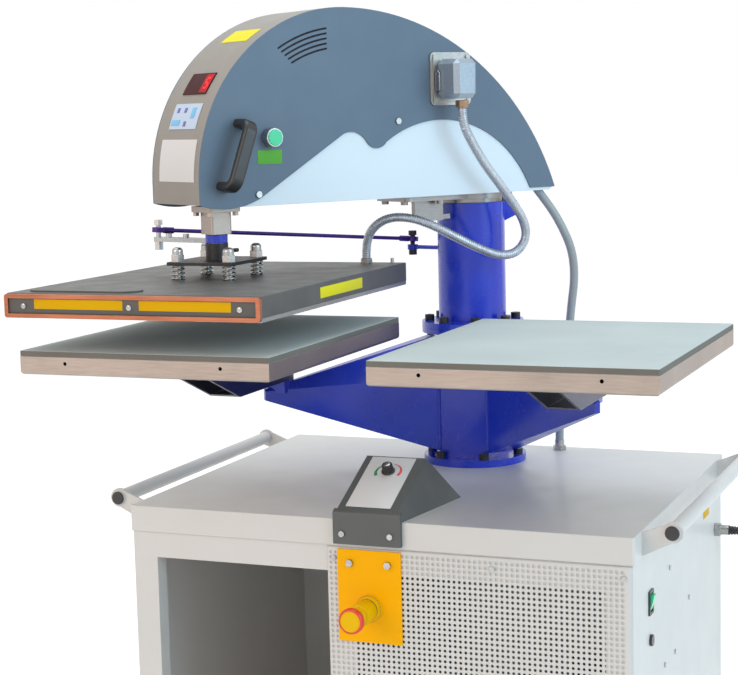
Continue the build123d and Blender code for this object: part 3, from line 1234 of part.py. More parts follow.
def hose_tube(name, points, radius, bore):
    """A round tube along straight runs joined by tangent arcs."""
    radii = bend_radii(points)
    with BuildPart() as tube:
        with BuildLine() as route:
            FilletPolyline(*points, radius=radii)
        with BuildSketch(Plane(points[0], z_dir=(points[1] - points[0]).normalized())):
            Circle(radius)
            if bore:
                Circle(bore, mode=Mode.SUBTRACT)
        sweep()
    length = sum(edge.length for edge in route.edges())
    section = math.pi * (radius**2 - bore**2)
    print(
        name, "length", round(length), "least radius", round(min(radii)),
        "volume ratio", round(tube.part.volume / (section * length), 4),
    )
    print(name, "radii", [round(r) for r in radii])
    write(tube, name)


# Rear hose, from the head's tail to the gland on the cabinet's top.
rear_top = arm_point(REAR_HOSE_TOP[0], REAR_HOSE_TOP[1], ARM_RISE + ARM_PLATE)
REAR_ROUTE = [
    rear_top,
    rear_top + Vector(0, 0, -34),
    Vector(113.0, COLUMN_Y + 66, rise(392)),
    Vector(132.0, COLUMN_Y + 78, rise(352)),
    Vector(143.0, COLUMN_Y + 88, rise(305)),
    Vector(145.0, COLUMN_Y + 97, rise(255)),
    Vector(140.0, COLUMN_Y + 104, rise(203)),
    Vector(131.0, COLUMN_Y + 109, rise(150)),
    Vector(123.0, COLUMN_Y + 111, rise(98)),
    Vector(118.5, COLUMN_Y + 112, rise(52)),
    REAR_HOSE_FOOT + UP * 12,
]
hose_tube("rear_hose", REAR_ROUTE, HOSE_R - 0.2, 0.0)

# Platen hose, from the plug on the head's side to the gland on the heat platen.
PLATEN_ROUTE = [
    arm_point(*HOSE_EXIT),
    arm_point(100, 112, 572),
    arm_point(84, 112, 545),
    arm_point(58, 111, 508),
    arm_point(26, 110, 474),
    arm_point(-3, 109, 441),
    arm_point(-27, 107, 412),
    arm_point(-36, 104, 382),
    arm_point(-18, 100, 357),
    arm_point(16, 95, 354),
    arm_point(52, 88, 368),
    arm_point(90, 78, 388),
    arm_point(124, 60, 409),
    arm_point(153, 36, 423),
    arm_point(178, 9, 423),
    arm_point(194, -14, 406),
    arm_point(198, -26, 380),
    arm_point(GLAND_D[0], GLAND_D[1], HEAT_TOP - TOP_HEIGHT + 8),
]
HOSE_VALLEY = 6.4
HOSE_SPANS = 5
SPAN_RIBS = 32
HOSE_RIBS = HOSE_SPANS * SPAN_RIBS
# Each rib goes through four rings: a valley, its foot, the crest and the crest's far edge.
RIB_PROFILE = ((0.0, HOSE_VALLEY), (0.3, HOSE_VALLEY), (0.45, HOSE_R), (0.85, HOSE_R))
with BuildLine() as hose_line:
    FilletPolyline(*PLATEN_ROUTE, radius=bend_radii(PLATEN_ROUTE))
hose_route = hose_line.wire()


def hose_ring(share, radius):
    """A disc across the hose at a share of its length, its x kept near the arm's right."""
    reach = share * hose_route.length
    way = hose_route.tangent_at(reach, PositionMode.LENGTH)
    across = (RIGHT - way * RIGHT.dot(way)).normalized()
    middle = hose_route.position_at(reach, PositionMode.LENGTH)
    with BuildSketch(Plane(middle, x_dir=across, z_dir=way)) as outline:
        Circle(radius)
    return outline.sketch


def hose_span(first):
    """A hollow stretch of ribs, up to the next stretch's first valley."""
    ribs = range(first, first + SPAN_RIBS)
    rings = [hose_ring((i + share) / HOSE_RIBS, radius) for i in ribs for share, radius in RIB_PROFILE]
    rings.append(hose_ring((first + SPAN_RIBS) / HOSE_RIBS, HOSE_VALLEY))
    bores = [hose_ring(i / HOSE_RIBS, HOSE_BORE) for i in range(first, first + SPAN_RIBS + 1)]
    with BuildPart() as span:
        loft(rings, ruled=True)
        loft(bores, ruled=True, mode=Mode.SUBTRACT)
    return span.part


with BuildPart() as platen_hose:
    add([hose_span(i * SPAN_RIBS) for i in range(HOSE_SPANS)])
print("platen_hose length", round(hose_route.length), "least radius", round(min(bend_radii(PLATEN_ROUTE))))
print("platen_hose ribs", HOSE_RIBS, "pitch", round(hose_route.length / HOSE_RIBS, 2))
write(platen_hose, "platen_hose")

# Mains lead, from the side gland to the floor, then a coil with the plug beside it.
LEAD_X = BODY_RIGHT + MAINS_OUT
MAINS_ROUTE = [
    Vector(BODY_RIGHT + 4, MAINS_Y, MAINS_Z),
    Vector(LEAD_X + 22, MAINS_Y, MAINS_Z),
    Vector(LEAD_X + 50, MAINS_Y + 4, MAINS_Z - 16),
    Vector(LEAD_X + 68, MAINS_Y + 8, MAINS_Z - 56),
    Vector(LEAD_X + 76, MAINS_Y + 10, MAINS_Z - 120),
    Vector(LEAD_X + 78, MAINS_Y + 9, MAINS_Z - 190),
    Vector(LEAD_X + 76, MAINS_Y + 5, MAINS_Z - 260),
    Vector(LEAD_X + 72, MAINS_Y, MAINS_Z - 330),
    Vector(LEAD_X + 70, MAINS_Y - 6, MAINS_Z - 400),
    Vector(LEAD_X + 70, MAINS_Y - 14, MAINS_Z - 465),
    Vector(LEAD_X + 74, MAINS_Y - 26, MAINS_Z - 520),
    Vector(LEAD_X + 84, MAINS_Y - 48, MAINS_Z - 560),
    Vector(LEAD_X + 100, MAINS_Y - 92, CORD_R),
    Vector(LEAD_X + 110, MAINS_Y - 150, CORD_R),
]
hose_tube("mains_cord", MAINS_ROUTE, CORD_R, 0.0)

# The coil winds inwards on the floor, climbs, and winds outwards again on top.
COIL_R = 68.0
COIL_LOOPS = 3.25
COIL_PITCH = 2 * CORD_R + 0.8
COIL_STEPS = 52
coil_start = MAINS_ROUTE[-1]
lead_way = (coil_start - MAINS_ROUTE[-2]).normalized()
coil_centre = coil_start + lead_way.cross(UP) * COIL_R


def smooth(share):
    share = min(max(share, 0.0), 1.0)
    return share * share * (3 - 2 * share)


def coil_spot(turns):
    """The cord's middle after so many turns of the coil, clockwise from above."""
    inward = COIL_LOOPS - abs(COIL_LOOPS - turns)
    radius = COIL_R - COIL_PITCH * inward
    climb = COIL_PITCH * smooth(turns - COIL_LOOPS + 0.5)
    out = (coil_start - coil_centre).normalized().rotate(Axis.Z, -360 * turns)
    return coil_centre + out * radius + UP * climb


def coil_step(i):
    if i == 0:
        return coil_start, lead_way
    turns = 2 * COIL_LOOPS * i / COIL_STEPS
    spot = coil_spot(turns)
    way = (coil_spot(turns + 0.001) - coil_spot(turns - 0.001)).normalized()
    return spot, way


with BuildPart() as mains_coil:
    with BuildLine() as loops:
        for i in range(COIL_STEPS):
            start, start_way = coil_step(i)
            end, end_way = coil_step(i + 1)
            middle = meeting_point(start, start_way, end, end_way)
            TangentArc(start, middle, tangent=start_way)
            TangentArc(end, middle, tangent=end_way * -1)
    coil_end, coil_way = coil_step(COIL_STEPS)
    with BuildSketch(Plane(coil_start, z_dir=coil_step(0)[1])):
        Circle(CORD_R)
    sweep()
write(mains_coil, "mains_coil")

samples = [coil_spot(2 * COIL_LOOPS * i / 1300) for i in range(1301)]
apart = min(
    (samples[i] - samples[k]).length
    for i in range(0, 1301, 2) for k in range(i + 100, 1301, 3)
)
coil_length = sum(edge.length for edge in loops.edges())
print("coil length", round(coil_length), "least gap between turns", round(apart - 2 * CORD_R, 2))

# The coil's end runs on beside it to the plug, which lies on the floor.
PLUG_R = 19.0
PIN_LENGTH = 19.0
BOOT_LENGTH = 22.0
coil_way = Vector(coil_way.X, coil_way.Y, 0).normalized()
tail_side = coil_way.cross(UP)
TAIL_ROUTE = [
    coil_end,
    coil_end + coil_way * 30,
    coil_end + coil_way * 62 + tail_side * 5 + UP * 2.8,
    coil_end + coil_way * 88 + tail_side * 13 + UP * (PLUG_R - coil_end.Z),
    coil_end + coil_way * 108 + tail_side * 21 + UP * (PLUG_R - coil_end.Z),
]
hose_tube("mains_tail", TAIL_ROUTE, CORD_R, 0.0)

with BuildPart() as mains_plug:
    plug_way = (TAIL_ROUTE[-1] - TAIL_ROUTE[-2]).normalized()
    boot = Plane(TAIL_ROUTE[-1], x_dir=UP, z_dir=plug_way)
    disc(boot, 7.0, BOOT_LENGTH)
    plug = boot.offset(BOOT_LENGTH)
    disc(plug, PLUG_R, 34.0)
    for across in (-9.5, 9.5):
        with BuildSketch(plug.offset(34.0)) as pins:
            with Locations((0, across)):
                Circle(2.4)
        extrude(pins.sketch, amount=PIN_LENGTH)
write(mains_plug, "mains_plug")
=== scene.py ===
"""The looks of the dual station heat press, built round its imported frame.

The row frame: +X to the operator's right, +Y to the back, +Z up, and the origin on the floor.
Sizes are in millimetres until a mesh is finished, and in metres from then on.
"""

import logging
import math
from collections.abc import Callable, Iterable
from dataclasses import dataclass
from enum import Enum

import bmesh
import bpy
from mathutils import Matrix, Vector


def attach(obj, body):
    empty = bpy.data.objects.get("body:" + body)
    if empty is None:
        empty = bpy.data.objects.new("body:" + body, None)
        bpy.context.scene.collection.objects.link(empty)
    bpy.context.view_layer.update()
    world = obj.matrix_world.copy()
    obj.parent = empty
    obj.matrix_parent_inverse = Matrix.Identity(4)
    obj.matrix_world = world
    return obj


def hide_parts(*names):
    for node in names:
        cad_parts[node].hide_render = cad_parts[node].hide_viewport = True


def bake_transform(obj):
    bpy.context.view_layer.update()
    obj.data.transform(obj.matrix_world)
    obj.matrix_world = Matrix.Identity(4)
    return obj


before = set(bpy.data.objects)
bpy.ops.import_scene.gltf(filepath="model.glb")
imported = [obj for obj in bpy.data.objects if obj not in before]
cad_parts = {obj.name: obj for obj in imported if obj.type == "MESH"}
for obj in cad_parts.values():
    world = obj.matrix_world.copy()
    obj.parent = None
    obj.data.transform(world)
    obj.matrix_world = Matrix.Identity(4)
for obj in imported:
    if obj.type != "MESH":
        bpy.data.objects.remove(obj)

log = logging.getLogger("heat_press")

MM = 0.001
TOP = 700.0
COLUMN = Vector((0.0, 274.0, TOP))
STATION = Vector((272.0, -137.5, 0.0))
HEAD_TURN = math.atan2(272.0, 411.5)
AHEAD = Vector((-math.sin(HEAD_TURN), -math.cos(HEAD_TURN), 0.0))
RIGHT = Vector((-AHEAD.y, AHEAD.x, 0.0))
UP = Vector((0.0, 0.0, 1.0))
EAST = Vector((1.0, 0.0, 0.0))
NORTH = Vector((0.0, 1.0, 0.0))

Colour = tuple[float, float, float, float]


def tone(red: int, green: int, blue: int) -> Colour:
    """A colour as the shader wants it, from its 0 to 255 screen values."""
    linear = [
        (v / 255 / 12.92) if v <= 10 else ((v / 255 + 0.055) / 1.055) ** 2.4 for v in (red, green, blue)
    ]
    return (*linear, 1.0)


def metres(spot: Vector) -> tuple[float, float, float]:
    """A place in metres, from millimetres."""
    return tuple(spot * MM)


def on_arm(ahead: float, right: float, rise: float) -> Vector:
    """A place along the head's arm, to its right and above the cabinet's top."""
    return COLUMN + AHEAD * ahead + RIGHT * right + UP * rise


def stand(origin: Vector, normal: Vector, across: Vector = UP) -> Matrix:
    """A frame on a surface.

    Args:
        origin: Where the frame stands.
        normal: The way its z points.
        across: The way its x points, as nearly as the normal allows.

    Returns:
        The frame as a matrix.
    """
    z = normal.normalized()
    x = (across - z * across.dot(z)).normalized()
    made = Matrix((x, z.cross(x), z)).transposed().to_4x4()
    made.translation = origin
    return made


# ---- node work ----


class Wiring:
    """Adds nodes to one node tree and joins them."""

    def __init__(self, tree: bpy.types.NodeTree) -> None:
        self.tree = tree

    def add(
        self, kind: str, feeds: dict[str | int, object] | None = None, **settings: object
    ) -> bpy.types.Node:
        """Adds a node.

        Args:
            kind: The node's type.
            feeds: What goes into its sockets: another socket, or a plain value.
            **settings: The node's own settings.

        Returns:
            The node.
        """
        node = self.tree.nodes.new(kind)
        for key, value in settings.items():
            setattr(node, key, value)
        for key, value in (feeds or {}).items():
            if isinstance(value, bpy.types.NodeSocket):
                self.tree.links.new(value, node.inputs[key])
            else:
                node.inputs[key].default_value = value
        return node

    def noise(self, where: bpy.types.NodeSocket, scale: object, detail: float = 3.0) -> bpy.types.NodeSocket:
        """A noise value that is even all ways."""
        return self.add("ShaderNodeTexNoise", {"Vector": where, "Scale": scale, "Detail": detail}).outputs[0]

    def spread(
        self, value: bpy.types.NodeSocket, low: float, high: float, to: object = 1.0
    ) -> bpy.types.NodeSocket:
        """A value's stretch from low to high, moved to the stretch from 0 to another value."""
        feeds = {"Value": value, "From Min": low, "From Max": high, "To Min": 0.0, "To Max": to}
        return self.add("ShaderNodeMapRange", feeds).outputs[0]

    def sum(self, how: str, first: object, second: object) -> bpy.types.NodeSocket:
        """One step of arithmetic."""
        return self.add("ShaderNodeMath", {0: first, 1: second}, operation=how).outputs[0]

    def blend(self, share: object, first: object, second: object, how: str = "MIX") -> bpy.types.NodeSocket:
        """Two colours mixed by a share."""
        node = self.add("ShaderNodeMix", data_type="RGBA", blend_type=how)
        for key, value in ((0, share), (6, first), (7, second)):
            if isinstance(value, bpy.types.NodeSocket):
                self.tree.links.new(value, node.inputs[key])
            else:
                node.inputs[key].default_value = value
        return node.outputs[2]


@dataclass(frozen=True)
class Effect:
    """A shader node group with named sockets."""

    name: str
    takes: tuple[tuple[str, str], ...]
    gives: tuple[tuple[str, str], ...]
    wire: Callable[[Wiring, bpy.types.Node, bpy.types.Node], None]

    def tree(self) -> bpy.types.NodeTree:
        """The group, made the first time that it is asked for."""
        if self.name in bpy.data.node_groups:
            return bpy.data.node_groups[self.name]
        made = bpy.data.node_groups.new(self.name, "ShaderNodeTree")
        for way, sockets in (("INPUT", self.takes), ("OUTPUT", self.gives)):
            for name, kind in sockets:
                made.interface.new_socket(name, in_out=way, socket_type=kind)
        wiring = Wiring(made)
        self.wire(wiring, wiring.add("NodeGroupInput"), wiring.add("NodeGroupOutput"))
        return made

    def place(self, wiring: Wiring, feeds: dict[str, object]) -> bpy.types.Node:
        """The group as a node of a material."""
        node = wiring.add("ShaderNodeGroup", node_tree=self.tree())
        for key, value in feeds.items():
            if isinstance(value, bpy.types.NodeSocket):
                wiring.tree.links.new(value, node.inputs[key])
            else:
                node.inputs[key].default_value = value
        return node


def wire_coat(wiring: Wiring, given: bpy.types.Node, made: bpy.types.Node) -> None:
    """A coat with broad clouds of a second shade, fine grain and smears."""
    where = wiring.add("ShaderNodeTexCoord").outputs["Object"]
    clouds = wiring.spread(wiring.noise(where, 5.0), 0.35, 0.7, given.outputs["Mottle"])
    colour = wiring.blend(clouds, given.outputs["Colour"], given.outputs["Shade"])
    grain = wiring.noise(where, given.outputs["Grain"], 2.0)
    specks = wiring.spread(grain, 0.35, 0.75, 0.16)
    colour = wiring.blend(specks, colour, given.outputs["Shade"])
    smears = wiring.spread(wiring.noise(where, 22.0, 4.0), 0.3, 0.7, 0.12)
    rough = wiring.sum("ADD", given.outputs["Roughness"], smears)
    wiring.tree.links.new(colour, made.inputs["Colour"])
    wiring.tree.links.new(rough, made.inputs["Roughness"])
    wiring.tree.links.new(grain, made.inputs["Height"])


def wire_edge(wiring: Wiring, given: bpy.types.Node, made: bpy.types.Node) -> None:
    """Softly rounded edges, and a mask of where they are rubbed."""
    soft = wiring.add("ShaderNodeBevel", {"Radius": given.outputs["Radius"]}, samples=4).outputs[0]
    flat = wiring.add("ShaderNodeNewGeometry").outputs["Normal"]
    meet = wiring.add("ShaderNodeVectorMath", {0: soft, 1: flat}, operation="DOT_PRODUCT").outputs["Value"]
    turn = wiring.sum("SUBTRACT", 1.0, meet)
    where = wiring.add("ShaderNodeTexCoord").outputs["Object"]
    patch = wiring.spread(wiring.noise(where, 60.0, 4.0), 0.42, 0.62)
    rub = wiring.spread(turn, 0.02, 0.12, given.outputs["Rub"])
    wiring.tree.links.new(wiring.sum("MULTIPLY", rub, patch), made.inputs["Mask"])
    wiring.tree.links.new(soft, made.inputs["Normal"])


def wire_streaks(wiring: Wiring, given: bpy.types.Node, made: bpy.types.Node) -> None:
    """Tool marks or brushing, drawn out one way, over faint stains."""
    where = wiring.add("ShaderNodeTexCoord").outputs["Object"]
    drawn = wiring.add("ShaderNodeMapping", {"Vector": where, "Scale": given.outputs["Draw"]}).outputs[0]
    streak = wiring.noise(drawn, 1.0, 4.0)
    stains = wiring.spread(wiring.noise(where, 9.0), 0.35, 0.75, 0.5)
    share = wiring.sum("ADD", wiring.spread(streak, 0.3, 0.7, 0.5), stains)
    wiring.tree.links.new(
        wiring.blend(share, given.outputs["Colour"], given.outputs["Shade"]), made.inputs["Colour"]
    )
    rough = wiring.sum("ADD", given.outputs["Roughness"], wiring.spread(streak, 0.3, 0.7, 0.14))
    wiring.tree.links.new(rough, made.inputs["Roughness"])
    wiring.tree.links.new(streak, made.inputs["Height"])


COLOUR, VALUE, VECTOR = "NodeSocketColor", "NodeSocketFloat", "NodeSocketVector"
SURFACE = (("Colour", COLOUR), ("Roughness", VALUE), ("Height", VALUE))
COAT = Effect(
    "coat_grain",
    (("Colour", COLOUR), ("Shade", COLOUR), ("Mottle", VALUE), ("Grain", VALUE), ("Roughness", VALUE)),
    SURFACE, wire_coat,
)
EDGE = Effect(
    "edge_rub", (("Radius", VALUE), ("Rub", VALUE)), (("Mask", VALUE), ("Normal", VECTOR)), wire_edge
)
STREAKS = Effect(
    "tool_streaks",
    (("Colour", COLOUR), ("Shade", COLOUR), ("Draw", VECTOR), ("Roughness", VALUE)),
    SURFACE, wire_streaks,
)


@dataclass(frozen=True)
class Coated:
    """A paint, plastic or rubber: one colour clouded by another, with grain and rubbed edges."""

    name: str
    colour: Colour
    shade: Colour
    rubbed: Colour
    roughness: float = 0.45
    mottle: float = 0.35
    grain: float = 900.0
    relief: float = 0.08
    gloss: float = 0.0
    edge: float = 0.8
    rub: float = 0.5
    glow: float = 0.0
    shine: float = 0.5

    def build(self) -> bpy.types.Material:
        """The finish as a material."""
        made = bpy.data.materials.new(self.name)
        made.use_nodes = True
        made.node_tree.nodes.clear()
        wiring = Wiring(made.node_tree)
        coat = COAT.place(wiring, {
            "Colour": self.colour, "Shade": self.shade, "Mottle": self.mottle,
            "Grain": self.grain, "Roughness": self.roughness,
        })
        edge = EDGE.place(wiring, {"Radius": self.edge * MM, "Rub": self.rub})
        colour = wiring.blend(edge.outputs["Mask"], coat.outputs["Colour"], self.rubbed)
        bump = wiring.add("ShaderNodeBump", {
            "Height": coat.outputs["Height"], "Normal": edge.outputs["Normal"],
            "Strength": self.relief, "Distance": MM,
        })
        shader = wiring.add("ShaderNodeBsdfPrincipled", {
            "Base Color": colour, "Roughness": coat.outputs["Roughness"], "Normal": bump.outputs[0],
            "Coat Weight": self.gloss, "Coat Roughness": 0.12, "Specular IOR Level": self.shine,
        })
        if self.glow:
            wiring.tree.links.new(colour, shader.inputs["Emission Color"])
            shader.inputs["Emission Strength"].default_value = self.glow
        wiring.add("ShaderNodeOutputMaterial", {"Surface": shader.outputs[0]})
        return made


@dataclass(frozen=True)
class Metal:
    """A bare metal with streaks of brushing or turning."""

    name: str
    colour: Colour
    shade: Colour
    roughness: float = 0.3
    draw: tuple[float, float, float] = (30.0, 900.0, 900.0)
    relief: float = 0.06
    metallic: float = 1.0
    edge: float = 0.5

    def build(self) -> bpy.types.Material:
        """The finish as a material."""
        made = bpy.data.materials.new(self.name)
        made.use_nodes = True
        made.node_tree.nodes.clear()
        wiring = Wiring(made.node_tree)
        streaks = STREAKS.place(wiring, {
            "Colour": self.colour, "Shade": self.shade, "Draw": self.draw, "Roughness": self.roughness,
        })
        edge = EDGE.place(wiring, {"Radius": self.edge * MM, "Rub": 0.6})
        colour = wiring.blend(edge.outputs["Mask"], streaks.outputs["Colour"], tone(235, 235, 232))
        bump = wiring.add("ShaderNodeBump", {
            "Height": streaks.outputs["Height"], "Normal": edge.outputs["Normal"],
            "Strength": self.relief, "Distance": MM,
        })
        shader = wiring.add("ShaderNodeBsdfPrincipled", {
            "Base Color": colour, "Metallic": self.metallic,
            "Roughness": streaks.outputs["Roughness"], "Normal": bump.outputs[0],
        })
        wiring.add("ShaderNodeOutputMaterial", {"Surface": shader.outputs[0]})
        return made


class Finish(Enum):
    """The finishes of the press."""

    CABINET = Coated(
        "cabinet_powder_coat", tone(209, 208, 206), tone(197, 196, 194), tone(232, 231, 230),
        roughness=0.38, mottle=0.3, grain=1100.0, relief=0.06, gloss=0.1,
    )
    WHITE = Coated(
        "arm_white_coat", tone(220, 233, 243), tone(209, 223, 235), tone(240, 246, 250),
        roughness=0.4, mottle=0.3, grain=1000.0, relief=0.05,
    )
    SLATE = Coated(
        "cover_slate_coat", tone(92, 112, 132), tone(80, 100, 120), tone(138, 152, 164),
        roughness=0.42, mottle=0.4, grain=1300.0, relief=0.12,
    )
    WARM_GREY = Coated(
        "strip_warm_grey_coat", tone(146, 142, 136), tone(133, 129, 123), tone(178, 175, 170),
        roughness=0.4, mottle=0.4, grain=1300.0, relief=0.1,
    )
    WEDGE = Coated(
        "wedge_dark_grey_coat", tone(86, 89, 88), tone(74, 77, 77), tone(132, 134, 133),
        roughness=0.42, mottle=0.4, grain=1200.0, relief=0.12,
    )
    BLUE = Coated(
        "cradle_blue_enamel", tone(34, 64, 214), tone(20, 42, 162), tone(100, 130, 228),
        roughness=0.2, mottle=0.6, grain=240.0, relief=0.12, gloss=0.3, edge=1.6, shine=0.4,
    )
    MATT_BLACK = Coated(
        "platen_matt_black", tone(86, 84, 81), tone(74, 72, 70), tone(132, 129, 124),
        roughness=0.4, mottle=0.5, grain=700.0, relief=0.08,
    )
    YELLOW = Coated(
        "stop_yellow_paint", tone(250, 180, 0), tone(242, 168, 0), tone(255, 206, 60),
        roughness=0.4, mottle=0.2, relief=0.04, shine=0.1,
    )
    YELLOW_LABEL = Coated(
        "bare_yellow_label", tone(232, 222, 34), tone(220, 208, 26), tone(244, 236, 110),
        roughness=0.42, mottle=0.2, relief=0.03, edge=0.1, shine=0.15,
    )
    AMBER_LABEL = Coated(
        "bare_amber_label", tone(216, 168, 2), tone(204, 154, 0), tone(232, 196, 80),
        roughness=0.42, mottle=0.2, relief=0.03, edge=0.1, shine=0.1,
    )
    GREEN_LABEL = Coated(
        "bare_green_label", tone(96, 174, 66), tone(86, 160, 58), tone(150, 210, 124),
        roughness=0.42, mottle=0.2, relief=0.03, edge=0.1, shine=0.2,
    )
    WHITE_LABEL = Coated(
        "bare_white_label", tone(214, 214, 216), tone(204, 204, 207), tone(236, 236, 238),
        roughness=0.35, mottle=0.2, relief=0.03, edge=0.1,
    )
    KEYPAD = Coated(
        "keypad_pale_blue", tone(188, 206, 228), tone(178, 196, 220), tone(220, 230, 242),
        roughness=0.38, mottle=0.2, relief=0.03, edge=0.1,
    )
    KEY_BLUE = Coated(
        "keypad_light_blue", tone(120, 190, 235), tone(100, 172, 222), tone(180, 220, 245),
        roughness=0.4, mottle=0.2, relief=0.03, edge=0.2,
    )
    KEY_INK = Coated(
        "keypad_violet_ink", tone(108, 108, 178), tone(96, 96, 165), tone(150, 150, 200),
        roughness=0.4, mottle=0.2, relief=0.02, edge=0.1,
    )
    BLACK_PLASTIC = Coated(
        "black_moulded_plastic", tone(40, 40, 42), tone(31, 31, 33), tone(78, 78, 80),
        roughness=0.34, mottle=0.3, grain=1500.0, relief=0.08, gloss=0.15, rub=0.3,
    )
    CORD = Coated(
        "black_cord_sheath", tone(28, 28, 29), tone(22, 22, 23), tone(52, 52, 52),
        roughness=0.5, mottle=0.4, grain=600.0, relief=0.08, edge=0.2, rub=0.2,
    )
    HOSE_GREY = Coated(
        "grey_hose_sheath", tone(152, 160, 162), tone(136, 144, 148), tone(190, 196, 198),
        roughness=0.3, mottle=0.35, grain=300.0, relief=0.05, gloss=0.25, edge=0.3,
    )
    # The pad's top and sides are one grey silicone: the top is painted as a lighter, lit copy and the sides
    # as a darker, shaded copy.
    SILICONE = Coated(
        "pad_silicone_painted_lit_top", tone(184, 194, 194), tone(164, 172, 172), tone(206, 212, 212),
        roughness=0.72, mottle=0.45, grain=420.0, relief=0.3, edge=0.6, rub=0.2,
    )
    PAD_SIDE = Coated(
        "pad_silicone_painted_shade_side", tone(112, 109, 102), tone(92, 89, 84), tone(150, 147, 140),
        roughness=0.8, mottle=0.5, grain=420.0, relief=0.4, edge=0.4, rub=0.1,
    )
    GREEN_LENS = Coated(
        "green_button_plastic", tone(34, 192, 136), tone(26, 172, 118), tone(120, 224, 186),
        roughness=0.25, mottle=0.2, grain=500.0, relief=0.03, gloss=0.4, edge=0.4, rub=0.3, glow=0.15,
    )
    RED_PLASTIC = Coated(
        "red_button_plastic", tone(226, 58, 28), tone(206, 44, 20), tone(240, 110, 80),
        roughness=0.3, mottle=0.2, relief=0.03, gloss=0.3, edge=0.5, rub=0.3,
    )
    YELLOW_PLASTIC = Coated(
        "yellow_button_plastic", tone(232, 184, 2), tone(218, 168, 0), tone(240, 206, 70),
        roughness=0.34, mottle=0.2, relief=0.03, edge=0.5, rub=0.3, shine=0.15,
    )
    WINDOW = Coated(
        "dark_red_display_window", tone(66, 8, 14), tone(48, 4, 9), tone(96, 28, 34),
        roughness=0.35, mottle=0.3, relief=0.01, edge=0.3, rub=0.1, shine=0.12,
    )
    LIT_RED = Coated(
        "lit_red_segment", tone(255, 24, 30), tone(240, 10, 18), tone(255, 60, 60),
        roughness=0.4, mottle=0.2, relief=0.01, edge=0.1, rub=0.0, glow=1.6,
    )
    RED_FIELD = Coated(
        "lit_red_field", tone(176, 8, 20), tone(120, 4, 12), tone(190, 30, 40),
        roughness=0.35, mottle=0.8, grain=300.0, relief=0.01, edge=0.1, rub=0.0, glow=0.3, shine=0.12,
    )
    SCALE_GREEN = Coated(
        "dial_scale_green", tone(38, 140, 92), tone(30, 126, 82), tone(90, 170, 130),
        roughness=0.4, mottle=0.2, relief=0.02, edge=0.1,
    )
    SCALE_RED = Coated(
        "dial_scale_red", tone(226, 84, 92), tone(214, 70, 80), tone(238, 130, 135),
        roughness=0.4, mottle=0.2, relief=0.02, edge=0.1,
    )
    BOARD = Coated(
        "green_circuit_board", tone(26, 96, 56), tone(20, 80, 46), tone(70, 130, 96),
        roughness=0.4, mottle=0.4, grain=500.0,
    )
    TYRE = Coated(
        "grey_castor_tyre", tone(92, 93, 96), tone(78, 79, 82), tone(128, 128, 130),
        roughness=0.6, mottle=0.5, grain=500.0, relief=0.2,
    )
    # A dark sheet for the head's vent slots, coloured as painted shade for the dark inside.
    DARK_VOID = Coated(
        "vent_slot_painted_shade", tone(30, 30, 40), tone(20, 20, 28), tone(44, 44, 52),
        roughness=0.7, mottle=0.4, grain=1600.0, relief=0.4, edge=0.1, rub=0.0,
    )
    ALUMINIUM = Metal("satin_aluminium_sheet", tone(178, 165, 156), tone(150, 139, 132), roughness=0.36)
    ZINC = Metal(
        "dull_zinc_channel", tone(86, 90, 112), tone(56, 60, 82), roughness=0.28,
        draw=(40.0, 500.0, 500.0), metallic=0.9, edge=1.2,
    )
    HOOD = Metal(
        "connector_hood_coat", tone(168, 180, 192), tone(146, 158, 170), roughness=0.3,
        draw=(300.0, 300.0, 300.0), metallic=0.6, edge=1.0,
    )
    CAST = Metal(
        "cast_aluminium", tone(186, 186, 184), tone(150, 149, 147), roughness=0.4,
        draw=(420.0, 420.0, 420.0), relief=0.2,
    )
    COPPER = Metal(
        "copper_coloured_frame", tone(190, 122, 92), tone(150, 88, 62), roughness=0.34, metallic=0.75,
    )
    BRASS = Metal(
        "pale_brass_gland", tone(190, 156, 128), tone(148, 116, 92), roughness=0.24,
        draw=(300.0, 300.0, 300.0), metallic=0.9,
    )
    NICKEL = Metal(
        "bright_nickel", tone(194, 193, 192), tone(148, 147, 148), roughness=0.18,
        draw=(300.0, 300.0, 300.0), relief=0.03, edge=0.4,
    )
    TURNED = Metal(
        "turned_steel", tone(164, 161, 160), tone(122, 119, 118), roughness=0.26, draw=(60.0, 60.0, 1800.0),
    )
    BLACK_STEEL = Metal(
        "black_oxide_steel", tone(62, 62, 64), tone(40, 40, 42), roughness=0.36,
        draw=(300.0, 300.0, 300.0), metallic=0.7,
    )
    GALVANISED = Metal(
        "galvanised_hose_strip", tone(206, 212, 220), tone(160, 166, 176), roughness=0.28,
        draw=(220.0, 220.0, 220.0), metallic=0.85, relief=0.1,
    )
    VIOLET = Metal(
        "violet_anodised_rod", tone(84, 52, 140), tone(58, 34, 108), roughness=0.34,
        draw=(300.0, 300.0, 300.0), metallic=0.6,
    )

    def material(self) -> bpy.types.Material:
        """This finish's material, made the first time that it is asked for."""
        return bpy.data.materials.get(self.value.name) or self.value.build()


def dress(finish: Finish, *nodes: str) -> None:
    """Gives a finish to CAD nodes that stay as they are."""
    for name in nodes:
        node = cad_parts[name]
        node.data.materials.clear()
        node.data.materials.append(finish.material())


# ---- mesh work ----


